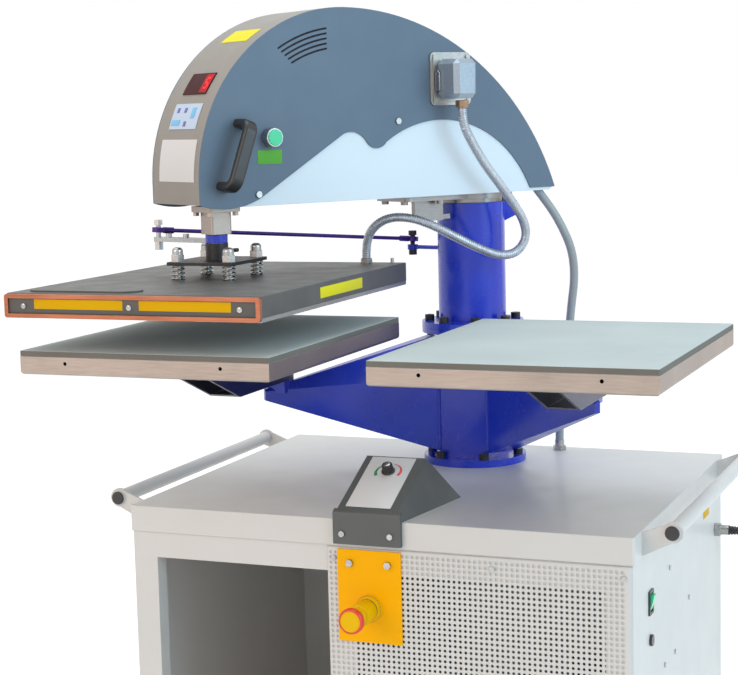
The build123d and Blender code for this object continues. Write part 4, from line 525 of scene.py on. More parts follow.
class Shape:
    """A mesh in the making, from bmesh operators, in millimetres."""

    def __init__(self) -> None:
        self.bm = bmesh.new()

    def soften(
        self, verts: Iterable[bmesh.types.BMVert], width: float, segments: int = 2, crisp: float = 35.0
    ) -> None:
        """Rounds the sharp edges between some vertices.

        Args:
            verts: The vertices at the edges' ends.
            width: How wide the round is.
            segments: How many faces go round it.
            crisp: The least angle in degrees at which an edge counts as sharp.
        """
        if width <= 0:
            return
        least = math.radians(crisp)
        edges = {e for v in verts for e in v.link_edges if e.is_manifold and e.calc_face_angle(0.0) > least}
        bmesh.ops.bevel(
            self.bm, geom=list(edges), offset=width, segments=segments, profile=0.5,
            affect="EDGES", material=-1, clamp_overlap=True,
        )

    def drum(
        self, at: Matrix, radius: float, height: float, sides: int = 40,
        top: float | None = None, soft: float = 0.0,
    ) -> None:
        """A round solid that stands on a frame.

        Args:
            at: The frame on whose floor it stands.
            radius: Its radius at the foot.
            height: Its height.
            sides: How many sides it has.
            top: Its radius at the top, where that differs.
            soft: How far its sharp edges are rounded.
        """
        made = bmesh.ops.create_cone(
            self.bm, cap_ends=True, segments=sides, radius1=radius, radius2=radius if top is None else top,
            depth=height, matrix=at @ Matrix.Translation((0, 0, height / 2)),
        )
        self.soften(made["verts"], soft, crisp=60.0 if sides < 9 else 35.0)

    def block(
        self, at: Matrix, size: tuple[float, float, float], soft: float = 0.0, segments: int = 2
    ) -> None:
        """A box that stands on a frame, with its sharp edges rounded."""
        place = at @ Matrix.Translation((0, 0, size[2] / 2)) @ Matrix.Diagonal((*size, 1.0))
        made = bmesh.ops.create_cube(self.bm, size=1.0, matrix=place)
        self.soften(made["verts"], soft, segments)

    def plate(
        self, at: Matrix, outline: Iterable[tuple[float, float]], height: float, soft: float = 0.0
    ) -> None:
        """A flat plate on a frame, whose outline is a closed line."""
        foot = self.bm.faces.new([self.bm.verts.new(at @ Vector((x, y, 0.0))) for x, y in outline])
        made = bmesh.ops.extrude_face_region(self.bm, geom=[foot])["geom"]
        top = [v for v in made if isinstance(v, bmesh.types.BMVert)]
        bmesh.ops.translate(self.bm, verts=top, vec=(at.to_3x3() @ UP) * height)
        verts = top + list(foot.verts)
        faces = {f for v in verts for f in v.link_faces}
        bmesh.ops.recalc_face_normals(self.bm, faces=list(faces))
        self.soften(verts, soft)

    def lathe(self, at: Matrix, profile: list[tuple[float, float]], sides: int = 48) -> None:
        """A turned shape.

        Args:
            at: The frame whose z is the axis.
            profile: Radius and height of each point, from one end to the other.
            sides: How many steps go round.
        """
        verts = [self.bm.verts.new(at @ Vector((r, 0.0, z))) for r, z in profile]
        edges = [self.bm.edges.new(pair) for pair in zip(verts, verts[1:])]
        axis = at.to_3x3() @ UP
        bmesh.ops.spin(
            self.bm, geom=verts + edges, cent=at.translation, axis=axis, angle=math.tau,
            steps=sides, use_merge=True,
        )
        bmesh.ops.remove_doubles(self.bm, verts=self.bm.verts, dist=0.001)
        bmesh.ops.recalc_face_normals(self.bm, faces=self.bm.faces)

    def tube(self, line: list[Vector], stops: list[tuple[float, float]], sides: int = 20) -> list[Vector]:
        """A tube of changing radius along a line.

        Args:
            line: The points that it follows.
            stops: Share of the line's length and radius of each ring.
            sides: How many sides it has.

        Returns:
            The middle of each ring.
        """
        reach = [0.0]
        for here, there in zip(line, line[1:]):
            reach.append(reach[-1] + (there - here).length)
        middles, frames, step, turned = [], [], 0, None
        for share, radius in stops:
            goal = share * reach[-1]
            while step < len(line) - 2 and reach[step + 1] < goal:
                step += 1
            way = (line[step + 1] - line[step]).normalized()
            middle = line[step] + way * (goal - reach[step])
            side = turned if turned is not None else way.orthogonal()
            at = stand(middle, way, side)
            turned = at.to_3x3() @ EAST
            middles.append(middle)
            frames.append(at @ Matrix.Diagonal((radius, radius, 1.0, 1.0)))
        ring = bmesh.ops.create_circle(
            self.bm, cap_ends=True, segments=sides, radius=1.0, matrix=frames[0]
        )["verts"]
        edges = list({e for v in ring for e in v.link_edges})
        for before, after in zip(frames, frames[1:]):
            made = bmesh.ops.extrude_edge_only(self.bm, edges=edges)["geom"]
            ring = [v for v in made if isinstance(v, bmesh.types.BMVert)]
            fresh = set(ring)
            edges = [e for e in made if isinstance(e, bmesh.types.BMEdge) and set(e.verts) <= fresh]
            bmesh.ops.transform(self.bm, matrix=after @ before.inverted(), verts=ring)
        bmesh.ops.edgeloop_fill(self.bm, edges=edges)
        bmesh.ops.recalc_face_normals(self.bm, faces=self.bm.faces)
        return middles

    def finish(
        self, name: str, body: str | None, finish: Finish, slot: str | None = None,
        replaces: tuple[str, ...] = (), crisp: float = 35.0,
    ) -> bpy.types.Object:
        """Turns the mesh into a piece of the press.

        Args:
            name: The piece's name.
            body: The body that it rides on, or None.
            finish: Its finish.
            slot: The record's material slot that it stands for; not used.
            replaces: The CAD nodes that it replaces.
            crisp: The angle in degrees above which an edge stays sharp.

        Returns:
            The piece's object.
        """
        bmesh.ops.scale(self.bm, vec=(MM, MM, MM), verts=self.bm.verts)
        mesh = bpy.data.meshes.new(name)
        self.bm.to_mesh(mesh)
        self.bm.free()
        mesh.polygons.foreach_set("use_smooth", [True] * len(mesh.polygons))
        mesh.set_sharp_from_angle(angle=math.radians(crisp))
        mesh.materials.append(finish.material())
        made = bpy.data.objects.new(name, mesh)
        bpy.context.scene.collection.objects.link(made)
        if replaces:
            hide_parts(*replaces)
        if body:
            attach(made, body)
        log.info("%s: %d faces", name, len(mesh.polygons))
        return made


class Route:
    """A smooth line drawn by a cord's or hose's own points."""

    def __init__(self, name: str, spots: list[Vector]) -> None:
        self.curve = bpy.data.curves.new(name, "CURVE")
        self.curve.dimensions = "3D"
        self.curve.resolution_u = 10
        spline = self.curve.splines.new("NURBS")
        spline.points.add(len(spots) - 1)
        for point, spot in zip(spline.points, spots):
            point.co = (*metres(spot), 1.0)
        spline.order_u = 3
        spline.use_endpoint_u = True

    def line(self) -> list[Vector]:
        """The smooth line's points, in millimetres."""
        guide = bpy.data.objects.new("guide", self.curve)
        mesh = bpy.data.meshes.new_from_object(guide)
        spots = [v.co / MM for v in mesh.vertices]
        bpy.data.objects.remove(guide)
        bpy.data.meshes.remove(mesh)
        return spots


# ---- stage ----


@dataclass
class Studio:
    """The pale floor, the soft lamps and the camera at the photograph's place."""

    eye: tuple[float, float, float] = (0.97478, -2.59533, 1.28642)
    aim: tuple[float, float, float] = (82.9733, 1.4407, 21.9356)
    lens: float = 87.354
    floor_size: float = 60.0
    ambient: float = 0.72
    floor_lift: float = 0.38

    def build(self) -> None:
        """Sets up the whole stage."""
        self.camera()
        self.floor()
        self.sky()
        self.lamp("front_lamp", (-1.6, -3.4, 2.3), (0.0, 0.0, 0.85), 2.6, 44.0, (1.0, 0.74, 0.55))
        self.lamp("right_lamp", (3.4, -0.9, 2.2), (0.1, 0.1, 0.9), 2.4, 58.0, (0.5, 0.82, 1.0))
        self.lamp("top_lamp", (-0.4, 0.4, 4.2), (0.0, 0.1, 0.9), 3.0, 52.0, (0.84, 0.96, 1.0))

    def camera(self) -> None:
        """The camera, fitted to the photograph."""
        data = bpy.data.cameras.new("camera")
        data.sensor_fit = "HORIZONTAL"
        data.sensor_width = 36.0
        data.lens = self.lens
        data.clip_end = 100.0
        made = bpy.data.objects.new("camera", data)
        made.location = self.eye
        made.rotation_euler = [math.radians(angle) for angle in self.aim]
        bpy.context.scene.collection.objects.link(made)
        bpy.context.scene.camera = made

    def floor(self) -> None:
        """A plain pale floor."""
        bm = bmesh.new()
        bmesh.ops.create_grid(bm, x_segments=1, y_segments=1, size=self.floor_size / 2)
        mesh = bpy.data.meshes.new("floor")
        bm.to_mesh(mesh)
        bm.free()
        made = bpy.data.objects.new("floor", mesh)
        bpy.context.scene.collection.objects.link(made)
        material = bpy.data.materials.new("pale_floor")
        material.use_nodes = True
        material.node_tree.nodes.clear()
        wiring = Wiring(material.node_tree)
        lift = wiring.sum("MULTIPLY", self.looked_at(wiring), self.floor_lift)
        shader = wiring.add("ShaderNodeBsdfPrincipled", {
            "Base Color": tone(240, 240, 240), "Roughness": 0.8, "Emission Color": tone(255, 255, 255),
            "Emission Strength": lift,
        })
        wiring.add("ShaderNodeOutputMaterial", {"Surface": shader.outputs[0]})
        mesh.materials.append(material)

    @staticmethod
    def looked_at(wiring: Wiring) -> bpy.types.NodeSocket:
        """One where the camera, gloss or glass looks, and nothing for the light itself."""
        path = wiring.add("ShaderNodeLightPath")
        seen = wiring.sum("MAXIMUM", path.outputs["Is Camera Ray"], path.outputs["Is Glossy Ray"])
        return wiring.sum("MAXIMUM", seen, path.outputs["Is Transmission Ray"])

    def sky(self) -> None:
        """Even light all round, and white where the camera, gloss or glass looks past the press."""
        world = bpy.data.worlds.new("studio")
        bpy.context.scene.world = world
        world.use_nodes = True
        world.node_tree.nodes.clear()
        wiring = Wiring(world.node_tree)
        seen = self.looked_at(wiring)
        around = wiring.add("ShaderNodeBackground", {"Color": (1.0, 1.0, 1.0, 1.0), "Strength": self.ambient})
        white = wiring.add("ShaderNodeBackground", {"Color": (1.0, 1.0, 1.0, 1.0), "Strength": 1.0})
        mix = wiring.add("ShaderNodeMixShader", {0: seen, 1: around.outputs[0], 2: white.outputs[0]})
        wiring.add("ShaderNodeOutputWorld", {"Surface": mix.outputs[0]})

    def lamp(
        self, name: str, place: tuple[float, float, float], target: tuple[float, float, float],
        size: float, power: float, colour: tuple[float, float, float],
    ) -> None:
        """A soft square lamp.

        Args:
            name: The lamp's name.
            place: Where it hangs.
            target: What it looks at.
            size: Its width.
            power: Its power in watts.
            colour: Its colour.
        """
        data = bpy.data.lights.new(name, "AREA")
        data.size = size
        data.energy = power
        data.color = colour
        made = bpy.data.objects.new(name, data)
        made.location = place
        made.rotation_euler = (Vector(target) - Vector(place)).to_track_quat("-Z", "Y").to_euler()
        bpy.context.scene.collection.objects.link(made)


# ---- cord and hoses ----


@dataclass
class MainsLead:
    """The mains lead: down from the side gland, a wound coil on the floor, and the plug beside it."""

    radius: float = 4.5
    coil_radius: float = 68.0
    coil_loops: float = 3.25
    pitch: float = 9.8
    steps: int = 16
    plug_radius: float = 19.0
    relief_length: float = 34.0
    relief_ribs: int = 6
    boot_ribs: int = 5
    length: float = 2.97

    def drop(self) -> list[Vector]:
        """The points from the gland to the floor."""
        return [Vector(spot) for spot in (
            (398, 362, 581), (440, 362, 581), (468, 366, 565), (486, 370, 525), (494, 372, 461),
            (496, 371, 391), (494, 367, 321), (490, 362, 251), (488, 356, 181), (488, 348, 116),
            (492, 336, 61), (502, 314, 21), (518, 270, 4.5), (528, 212, 4.5),
        )]

    def coil(self, start: Vector, way: Vector) -> tuple[list[Vector], Vector]:
        """The coil's turns: inwards on the floor, up, and outwards on top.

        Args:
            start: Where the coil begins.
            way: The way that the cord arrives.

        Returns:
            The points of the turns, and the way that the cord leaves.
        """
        centre = start + way.cross(UP) * self.coil_radius
        out = (start - centre).normalized()
        spots = []
        for i in range(1, int(2 * self.coil_loops * self.steps) + 1):
            turns = i / self.steps
            inward = self.coil_loops - abs(self.coil_loops - turns)
            share = min(max(turns - self.coil_loops + 0.5, 0.0), 1.0)
            climb = self.pitch * share * share * (3 - 2 * share)
            spoke = Matrix.Rotation(math.radians(-360 * turns), 3, "Z") @ out
            spots.append(centre + spoke * (self.coil_radius - self.pitch * inward) + UP * climb)
        return spots, (spots[-1] - centre).normalized().cross(UP)

    def build(self) -> None:
        """Makes the lead, its strain relief and its plug."""
        spots = self.drop()
        turns, way = self.coil(spots[-1], (spots[-1] - spots[-2]).normalized())
        spots += turns
        end, side = spots[-1], way.cross(UP)
        rise = self.plug_radius - end.z
        spots += [
            end + way * 30, end + way * 62 + side * 5 + UP * 2.8, end + way * 88 + side * 13 + UP * rise,
            end + way * 108 + side * 21 + UP * rise,
        ]
        route = Route("mains_lead", spots)
        route.curve.bevel_depth = self.radius * MM
        route.curve.bevel_resolution = 4
        route.curve.use_fill_caps = True
        route.curve.materials.append(Finish.CORD.material())
        lead = bpy.data.objects.new("mains_lead", route.curve)
        bpy.context.scene.collection.objects.link(lead)
        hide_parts("mains_cord", "mains_coil", "mains_tail")
        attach(lead, "cabinet")
        relief = self.relief()
        plug, pins = self.plug(spots[-1], (spots[-1] - spots[-2]).normalized())

    def relief(self) -> bpy.types.Object:
        """The ribbed, tapered sleeve where the lead leaves the gland."""
        at = stand(Vector((417.5, 362.0, 581.0)), EAST)
        profile = [(5.0, 0.0), (8.2, 0.0), (8.2, 2.0)]
        for i in range(self.relief_ribs):
            foot = 3.0 + i * (self.relief_length - 6.0) / self.relief_ribs
            size = 7.6 - 2.2 * i / self.relief_ribs
            profile += [(size - 0.9, foot), (size - 0.9, foot + 1.2), (size, foot + 1.8), (size, foot + 3.8)]
        profile += [(5.4, self.relief_length - 1.0), (4.7, self.relief_length)]
        shape = Shape()
        shape.lathe(at, profile, 32)
        return shape.finish("lead_strain_relief", "cabinet", Finish.BLACK_PLASTIC, "black_plastic")

    def plug(self, spot: Vector, way: Vector) -> tuple[bpy.types.Object, bpy.types.Object]:
        """The moulded plug: a ribbed boot, a round body with a waist, and two round pins.

        Args:
            spot: Where the lead enters the boot.
            way: The way that the plug points.

        Returns:
            The plug's body and its pins.
        """
        at = stand(spot, way)
        profile = [(4.4, 0.0), (5.6, 0.0)]
        for i in range(self.boot_ribs):
            valley, foot = 5.6 + 0.3 * i, 1.0 + 4 * i
            profile += [(valley, foot), (valley + 0.8, foot + 1.0), (valley + 0.8, foot + 2.8)]
        profile += [
            (9.0, 23.0), (14.0, 27.0), (16.2, 34.0), (15.6, 42.0), (17.0, 50.0),
            (18.6, 53.0), (18.6, 55.0), (17.6, 56.0), (0.0, 56.0),
        ]
        shape = Shape()
        shape.lathe(at, profile, 40)
        body = shape.finish(
            "mains_plug_body", "cabinet", Finish.BLACK_PLASTIC, "black_plastic", ("mains_plug",)
        )
        pins = Shape()
        for across in (-9.5, 9.5):
            pin = at @ Matrix.Translation((0, across, 55.5))
            pins.drum(pin, 2.4, 19.5, 20, soft=1.0)
        return body, pins.finish("mains_plug_pins", "cabinet", Finish.NICKEL, "bright_steel")


@dataclass
class RearHose:
    """The smooth grey hose from the head's tail to the gland on the cabinet's top."""

    radius: float = 7.3
    rings: int = 230

    def build(self) -> None:
        """Makes the hose, bent between the cabinet and the head."""
        top = on_arm(-100, 48, 463)
        spots = [top] + [Vector(spot) for spot in (
            (119, 341, 1129), (138, 350, 1092), (152, 360, 1052), (154, 367, 1005), (146, 371, 955),
            (139, 378, 903), (131, 383, 850), (123, 385, 798), (118.5, 386, 752), (118, 386, 712),
        )]
        shape = Shape()
        stops = [(i / self.rings, self.radius - 0.12 * (i % 2)) for i in range(self.rings + 1)]
        line = Route("rear_hose_route", spots).line()
        path = shape.tube(line, stops, 24)
        made = shape.finish("rear_hose_tube", None, Finish.HOSE_GREY, "hose_grey", ("rear_hose",), 60.0)
        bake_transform(made)


@dataclass
class PlatenHose:
    """The wound steel hose from the connector to the heat platen, in a sliding and a turning stretch."""

    crest: float = 7.5
    valley: float = 6.4
    ribs: int = 160
    slide_share: float = 0.26

    def build(self) -> None:
        """Makes both stretches."""
        spots = [on_arm(*spot) for spot in (
            (100, 112, 597), (100, 112, 572), (84, 112, 545), (58, 111, 508), (26, 110, 474),
            (-3, 109, 441), (-27, 107, 412), (-36, 104, 382), (-18, 100, 357), (16, 95, 354),
            (52, 88, 368), (90, 78, 388), (124, 60, 409), (153, 36, 423), (178, 9, 423),
            (194, -14, 406), (198, -26, 380), (198, -26, 356),
        )]
        line = Route("platen_hose_route", spots).line()
        cut = round(self.ribs * self.slide_share)
        for name, first, last, bodies, start, end in (
            ("platen_hose_slide", 0, cut, ("head", "ram"), (100, 112, 597), (26, 110, 474)),
            ("platen_hose_turn", cut, self.ribs, ("ram", "press_shaft"), (60, 111, 500), (198, -26, 370)),
        ):
            rib = ((0.0, self.valley), (0.3, self.valley), (0.45, self.crest), (0.85, self.crest))
            stops = [((i + share) / self.ribs, radius) for i in range(first, last) for share, radius in rib]
            stops.append((last / self.ribs, self.valley))
            shape = Shape()
            path = shape.tube(line, stops, 20)
            made = shape.finish(name, None, Finish.GALVANISED, "hose_metal", ("platen_hose",), 50.0)
            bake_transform(made)


# ---- cabinet ----


@dataclass
class Cabinet:
    """The sheet cabinet: shell, top, perforated panel, push bars and castors."""

    panel_left: float = -67.0
    panel_right: float = 394.0
    panel_low: float = 112.0
    panel_high: float = 657.5
    panel_front: float = -217.0
    panel_thick: float = 1.5
    hole_radius: float = 2.2
    pitch: float = 8.0
    columns: int = 56
    rows: int = 67
    first_hole: tuple[float, float] = (-61.0, 649.0)
    bar_x: float = 441.0
    bar_front: float = -178.5
    bar_back: float = 377.5
    sticker_middle: tuple[float, float, float] = (394.0, 289.0, 634.0)
    sticker_size: tuple[float, float, float] = (46.0, 31.0, 0.4)

    def build(self) -> None:
        """Dresses the cabinet's nodes and adds its finer pieces."""
        dress(Finish.CABINET, "cabinet_body", "cabinet_top", "push_bars")
        dress(Finish.NICKEL, "cabinet_screws", "cable_glands")
        dress(Finish.BLACK_PLASTIC, "switch_housings")
        dress(Finish.BLACK_STEEL, "power_unit")
        dress(Finish.NICKEL, "castor_plates", "castor_fork_left", "castor_fork_right")
        for end in ("front", "rear"):
            dress(Finish.TYRE, f"castor_wheel_{end}_left", f"castor_wheel_{end}_right")
        dress(Finish.GREEN_LENS, "rocker")
        self.panel()
        self.bar_caps()
        sticker = Shape()
        sticker.block(stand(Vector(self.sticker_middle), EAST, NORTH), self.sticker_size, 0.1)
        sticker.finish("side_bare_sticker", "cabinet", Finish.AMBER_LABEL, "stop_yellow")

    def panel(self) -> None:
        """The perforated panel: one cell repeated in rows, then its plain margin."""
        shape = Shape()
        bm = shape.bm
        face = stand(Vector((self.first_hole[0], self.panel_front, self.first_hole[1])), -NORTH, EAST)
        bmesh.ops.create_circle(bm, segments=8, radius=self.hole_radius, matrix=face)
        corner = Matrix.Rotation(math.radians(45), 4, "Z")
        reach = self.pitch / math.sqrt(2)
        bmesh.ops.create_circle(bm, segments=4, radius=reach, matrix=face @ corner)
        bmesh.ops.bridge_loops(bm, edges=bm.edges[:])
        for count, step in ((self.columns, EAST * self.pitch), (self.rows, UP * -self.pitch)):
            source = bm.verts[:] + bm.edges[:] + bm.faces[:]
            for i in range(1, count):
                copy = bmesh.ops.duplicate(bm, geom=source)["geom"]
                moved = [v for v in copy if isinstance(v, bmesh.types.BMVert)]
                bmesh.ops.translate(bm, verts=moved, vec=step * i)
        bmesh.ops.remove_doubles(bm, verts=bm.verts, dist=0.01)
        half = self.pitch / 2
        low_x, high_z = self.first_hole[0] - half, self.first_hole[1] + half
        high_x = low_x + self.pitch * self.columns
        low_z = high_z - self.pitch * self.rows
        sides = (
            (0, low_x, self.panel_left), (0, high_x, self.panel_right),
            (2, low_z, self.panel_low), (2, high_z, self.panel_high),
        )
        rim = [
            e for e in bm.edges
            if e.is_boundary and all(min(abs(v.co[i] - here) for i, here, _ in sides) < 0.01 for v in e.verts)
        ]
        made = bmesh.ops.extrude_edge_only(bm, edges=rim)["geom"]
        for vert in (v for v in made if isinstance(v, bmesh.types.BMVert)):
            for i, here, there in sides:
                if abs(vert.co[i] - here) < 0.01:
                    vert.co[i] = there
        bmesh.ops.recalc_face_normals(bm, faces=bm.faces)
        if bm.faces[0].normal.y > 0:
            bmesh.ops.reverse_faces(bm, faces=bm.faces)
        made = shape.finish(
            "perforated_sheet", "cabinet", Finish.CABINET, "cabinet_paint", ("perforated_panel",)
        )
        wall = made.modifiers.new("thickness", "SOLIDIFY")
        wall.thickness = self.panel_thick * MM
        wall.offset = -1.0

    def bar_caps(self) -> None:
        """The domed black plugs in the push bars' ends."""
        shape = Shape()
        profile = [
            (0.0, -6.0), (8.9, -6.0), (8.9, 0.0), (10.4, 0.0), (10.4, 1.2), (9.6, 2.2), (6.0, 3.0),
            (0.0, 3.3),
        ]
        for x in (-self.bar_x, self.bar_x):
            for y, way in ((self.bar_front, -NORTH), (self.bar_back, NORTH)):
                shape.lathe(stand(Vector((x, y, TOP)), way), profile, 32)
        shape.finish("push_bar_plugs", "cabinet", Finish.BLACK_PLASTIC, "black_plastic")


@dataclass
class ControlWedge:
    """The control wedge with its bare plate, dial scale and pressure knob."""

    front: float = -226.5
    nose: float = 12.0
    run: float = 129.0
    drop: float = 60.0
    knob_back: float = 94.0
    knob_ribs: int = 24
    scale_radius: float = 19.5
    plate_back: float = 70.0
    plate_shift: float = -2.0
    plate_size: tuple[float, float, float] = (71.0, 125.0, 0.5)

    def on_slope(self, back: float, proud: float = 0.0) -> Matrix:
        """A frame on the sloping face, with y up the slope, a level distance back from its edge."""
        lean = math.atan2(self.drop, self.run)
        normal = Vector((0.0, -math.sin(lean), math.cos(lean)))
        spot = Vector((0.0, self.front + back, TOP + self.nose + back * math.tan(lean)))
        return stand(spot + normal * proud, normal, EAST)

    def build(self) -> None:
        """Dresses the wedge and adds its plate, scale and knob."""
        dress(Finish.WEDGE, "control_box")
        plate = Shape()
        middle = self.on_slope(self.plate_back) @ Matrix.Translation((self.plate_shift, 0, 0))
        plate.block(middle, self.plate_size, 0.15)
        plate.finish("wedge_bare_plate", "cabinet", Finish.WHITE_LABEL, "panel_white")
        self.scale("knob_scale_low", Finish.SCALE_GREEN, (215.0, 100.0), (2.6, 0.5))
        self.scale("knob_scale_high", Finish.SCALE_RED, (80.0, -25.0), (0.5, 2.6))
        at = self.on_slope(self.knob_back, 0.9)
        knob = Shape()
        knob.lathe(at, [
            (0, 0), (10.2, 0), (10.4, 0.5), (10.4, 1.7), (9.8, 2.6), (8.2, 3.0), (7.4, 12.6), (6.6, 13.8),
            (0, 14.0),
        ], 48)
        for i in range(self.knob_ribs):
            turn = Matrix.Rotation(math.tau * i / self.knob_ribs, 4, "Z")
            knob.drum(at @ turn @ Matrix.Translation((7.7, 0, 2.8)), 0.7, 9.6, 8, top=0.5)
        knob.plate(at @ Matrix.Translation((0, 0, 0.4)), [(-1.2, 8.5), (0, 12.2), (1.2, 8.5)], 2.0)
        knob.finish(
            "pressure_knob_grip", "pressure_knob", Finish.BLACK_PLASTIC, "black_plastic", ("pressure_knob",)
        )
        cap = Shape()
        profile = [(0, 0), (5.6, 0), (5.6, 0.3), (5.0, 0.6), (0, 0.7)]
        cap.lathe(at @ Matrix.Translation((0, 0, 13.7)), profile, 40)
        cap.finish("pressure_knob_cap", "pressure_knob", Finish.NICKEL, "bright_steel")

    def scale(
        self, name: str, finish: Finish, turns: tuple[float, float], halves: tuple[float, float]
    ) -> None:
        """A printed arc round the knob, which grows along its way.

        Args:
            name: The piece's name.
            finish: Its finish.
            turns: Where it starts and ends, in degrees.
            halves: Half its width at both.
        """
        steps = 24
        sides = []
        for way in (-1, 1):
            side = []
            for i in range(steps + 1):
                share = i / steps
                turn = math.radians(turns[0] + (turns[1] - turns[0]) * share)
                reach = self.scale_radius + way * (halves[0] + (halves[1] - halves[0]) * share)
                side.append((reach * math.cos(turn), reach * math.sin(turn)))
            sides.append(side)
        band = Shape()
        band.plate(self.on_slope(self.knob_back, 0.5), sides[0] + sides[1][::-1], 0.15)
        band.finish(name, "cabinet", finish, "panel_white")


@dataclass
class EmergencyStop:
    """The yellow plate with its collar and mushroom button."""

    face: float = -219.5
    rise: float = 568.5

    def build(self) -> None:
        """Dresses the plate and adds the collar's yellow sleeve and the mushroom."""
        dress(Finish.YELLOW, "estop_plate")
        dress(Finish.BLACK_PLASTIC, "estop_plunger")
        at = stand(Vector((0.0, self.face, self.rise)), -NORTH, EAST)
        collar = Shape()
        collar.lathe(at, [
            (20.2, 0.0), (20.2, 5.2), (19.4, 6.2), (17.2, 6.4), (17.2, 12), (16.8, 12.6), (16.8, 14.6),
            (17.2, 15.2), (17.2, 46.2), (15.5, 47.0), (13.2, 47.2), (13.2, 55.6), (12.6, 56.2), (9.4, 56.2),
            (9.4, 54.0),
        ], 56)
        collar.finish("stop_collar_sleeve", "cabinet", Finish.YELLOW_PLASTIC, "button_yellow")
        rim = Shape()
        rim.lathe(at, [
            (4.4, 63.4), (13.0, 63.4), (13.4, 64.2), (13.6, 66.8), (18.0, 67.4), (19.0, 68.4), (19.0, 73.6),
            (18.2, 76.0), (17.0, 77.0), (15.6, 77.2), (15.6, 76.2), (4.4, 76.2),
        ], 64)
        rim.finish("stop_button_rim", "estop_button", Finish.RED_PLASTIC, "button_yellow", ("estop_button",))
        cap = Shape()
        cap.lathe(at, [(0.0, 75.6), (15.5, 75.6), (15.5, 76.4), (12.0, 76.9), (0.0, 77.2)], 64)
        cap.finish("stop_button_face", "estop_button", Finish.YELLOW_PLASTIC, "button_yellow")


# ---- cradle, column and stations ----


@dataclass
class Cradle:
    """The blue cradle and column, with the weld beads where the wings meet the post."""

    weld_x: float = 42.4
    weld_y: float = 215.6
    weld_low: float = 724.0
    weld_high: float = 912.0
    weld_valley: float = 2.2
    weld_crest: float = 3.1
    ripples: int = 44

    def build(self) -> None:
        """Dresses the cradle, column, bolts and bearings, and adds the beads."""
        dress(Finish.BLUE, "cradle", "column")
        dress(Finish.BLACK_STEEL, "column_bolts")
        dress(Finish.TURNED, "column_bearings", "pivot_shaft")
        ripple = ((0.1, self.weld_valley), (0.55, self.weld_crest), (0.9, self.weld_valley))
        steps = range(self.ripples)
        stops = [((i + share) / self.ripples, radius) for i in steps for share, radius in ripple]
        for side, x in (("left", -self.weld_x), ("right", self.weld_x)):
            bead = Shape()
            line = [Vector((x, self.weld_y, self.weld_low)), Vector((x, self.weld_y, self.weld_high))]
            bead.tube(line, stops, 12)
            bead.finish(f"{side}_weld_bead", "cabinet", Finish.BLUE, "cradle_blue", crisp=70.0)


@dataclass
class Stations:
    """The two padded stations."""

    width: float = 400.0
    depth: float = 500.0
    low: float = 952.5
    high: float = 962.0
    crown: float = 0.6

    def build(self) -> None:
        """Dresses channels and trays, and adds the silicone pads."""
        dress(Finish.ZINC, "platen_channels")
        dress(Finish.ALUMINIUM, "lower_platens")
        for name, x in (("left", -STATION.x), ("right", STATION.x)):
            self.pad(name, x)

    def pad(self, name: str, x: float) -> None:
        """One station's pad: a thick sheet with soft edges and a slightly crowned top.

        Args:
            name: The station's side.
            x: Its middle.
        """
        shape = Shape()
        at = stand(Vector((x, STATION.y, self.low)), UP, EAST)
        shape.block(at, (self.width, self.depth, self.high - self.low - self.crown), 1.2, 3)
        bm = shape.bm
        for axis, middle, half in ((0, x, self.width / 2), (1, STATION.y, self.depth / 2)):
            for i in range(1, 16):
                spot = Vector((x, STATION.y, self.low))
                spot[axis] = middle - half + half * i / 8
                normal = EAST if axis == 0 else NORTH
                whole = bm.verts[:] + bm.edges[:] + bm.faces[:]
                bmesh.ops.bisect_plane(bm, geom=whole, plane_co=spot, plane_no=normal, dist=0.01)
        for vert in bm.verts:
            if vert.co.z > self.low + 4.0:
                share = max(abs(vert.co.x - x) / self.width, abs(vert.co.y - STATION.y) / self.depth) * 2
                vert.co.z += self.crown * (1 - min(share, 1.0) ** 6)
        made = shape.finish(
            f"{name}_station_pad", "cabinet", Finish.SILICONE, "pad_rubber", ("platen_pads",), 60.0
        )
        # Faces that look up get the painted lit copy and the rest get the painted shaded copy, so the top's
        # light and the sides' shade are painted in.
        made.data.materials.append(Finish.PAD_SIDE.material())
        for face in made.data.polygons:
            face.material_index = 0 if abs(face.normal.z) > 0.5 else 1


# ---- swing head ----


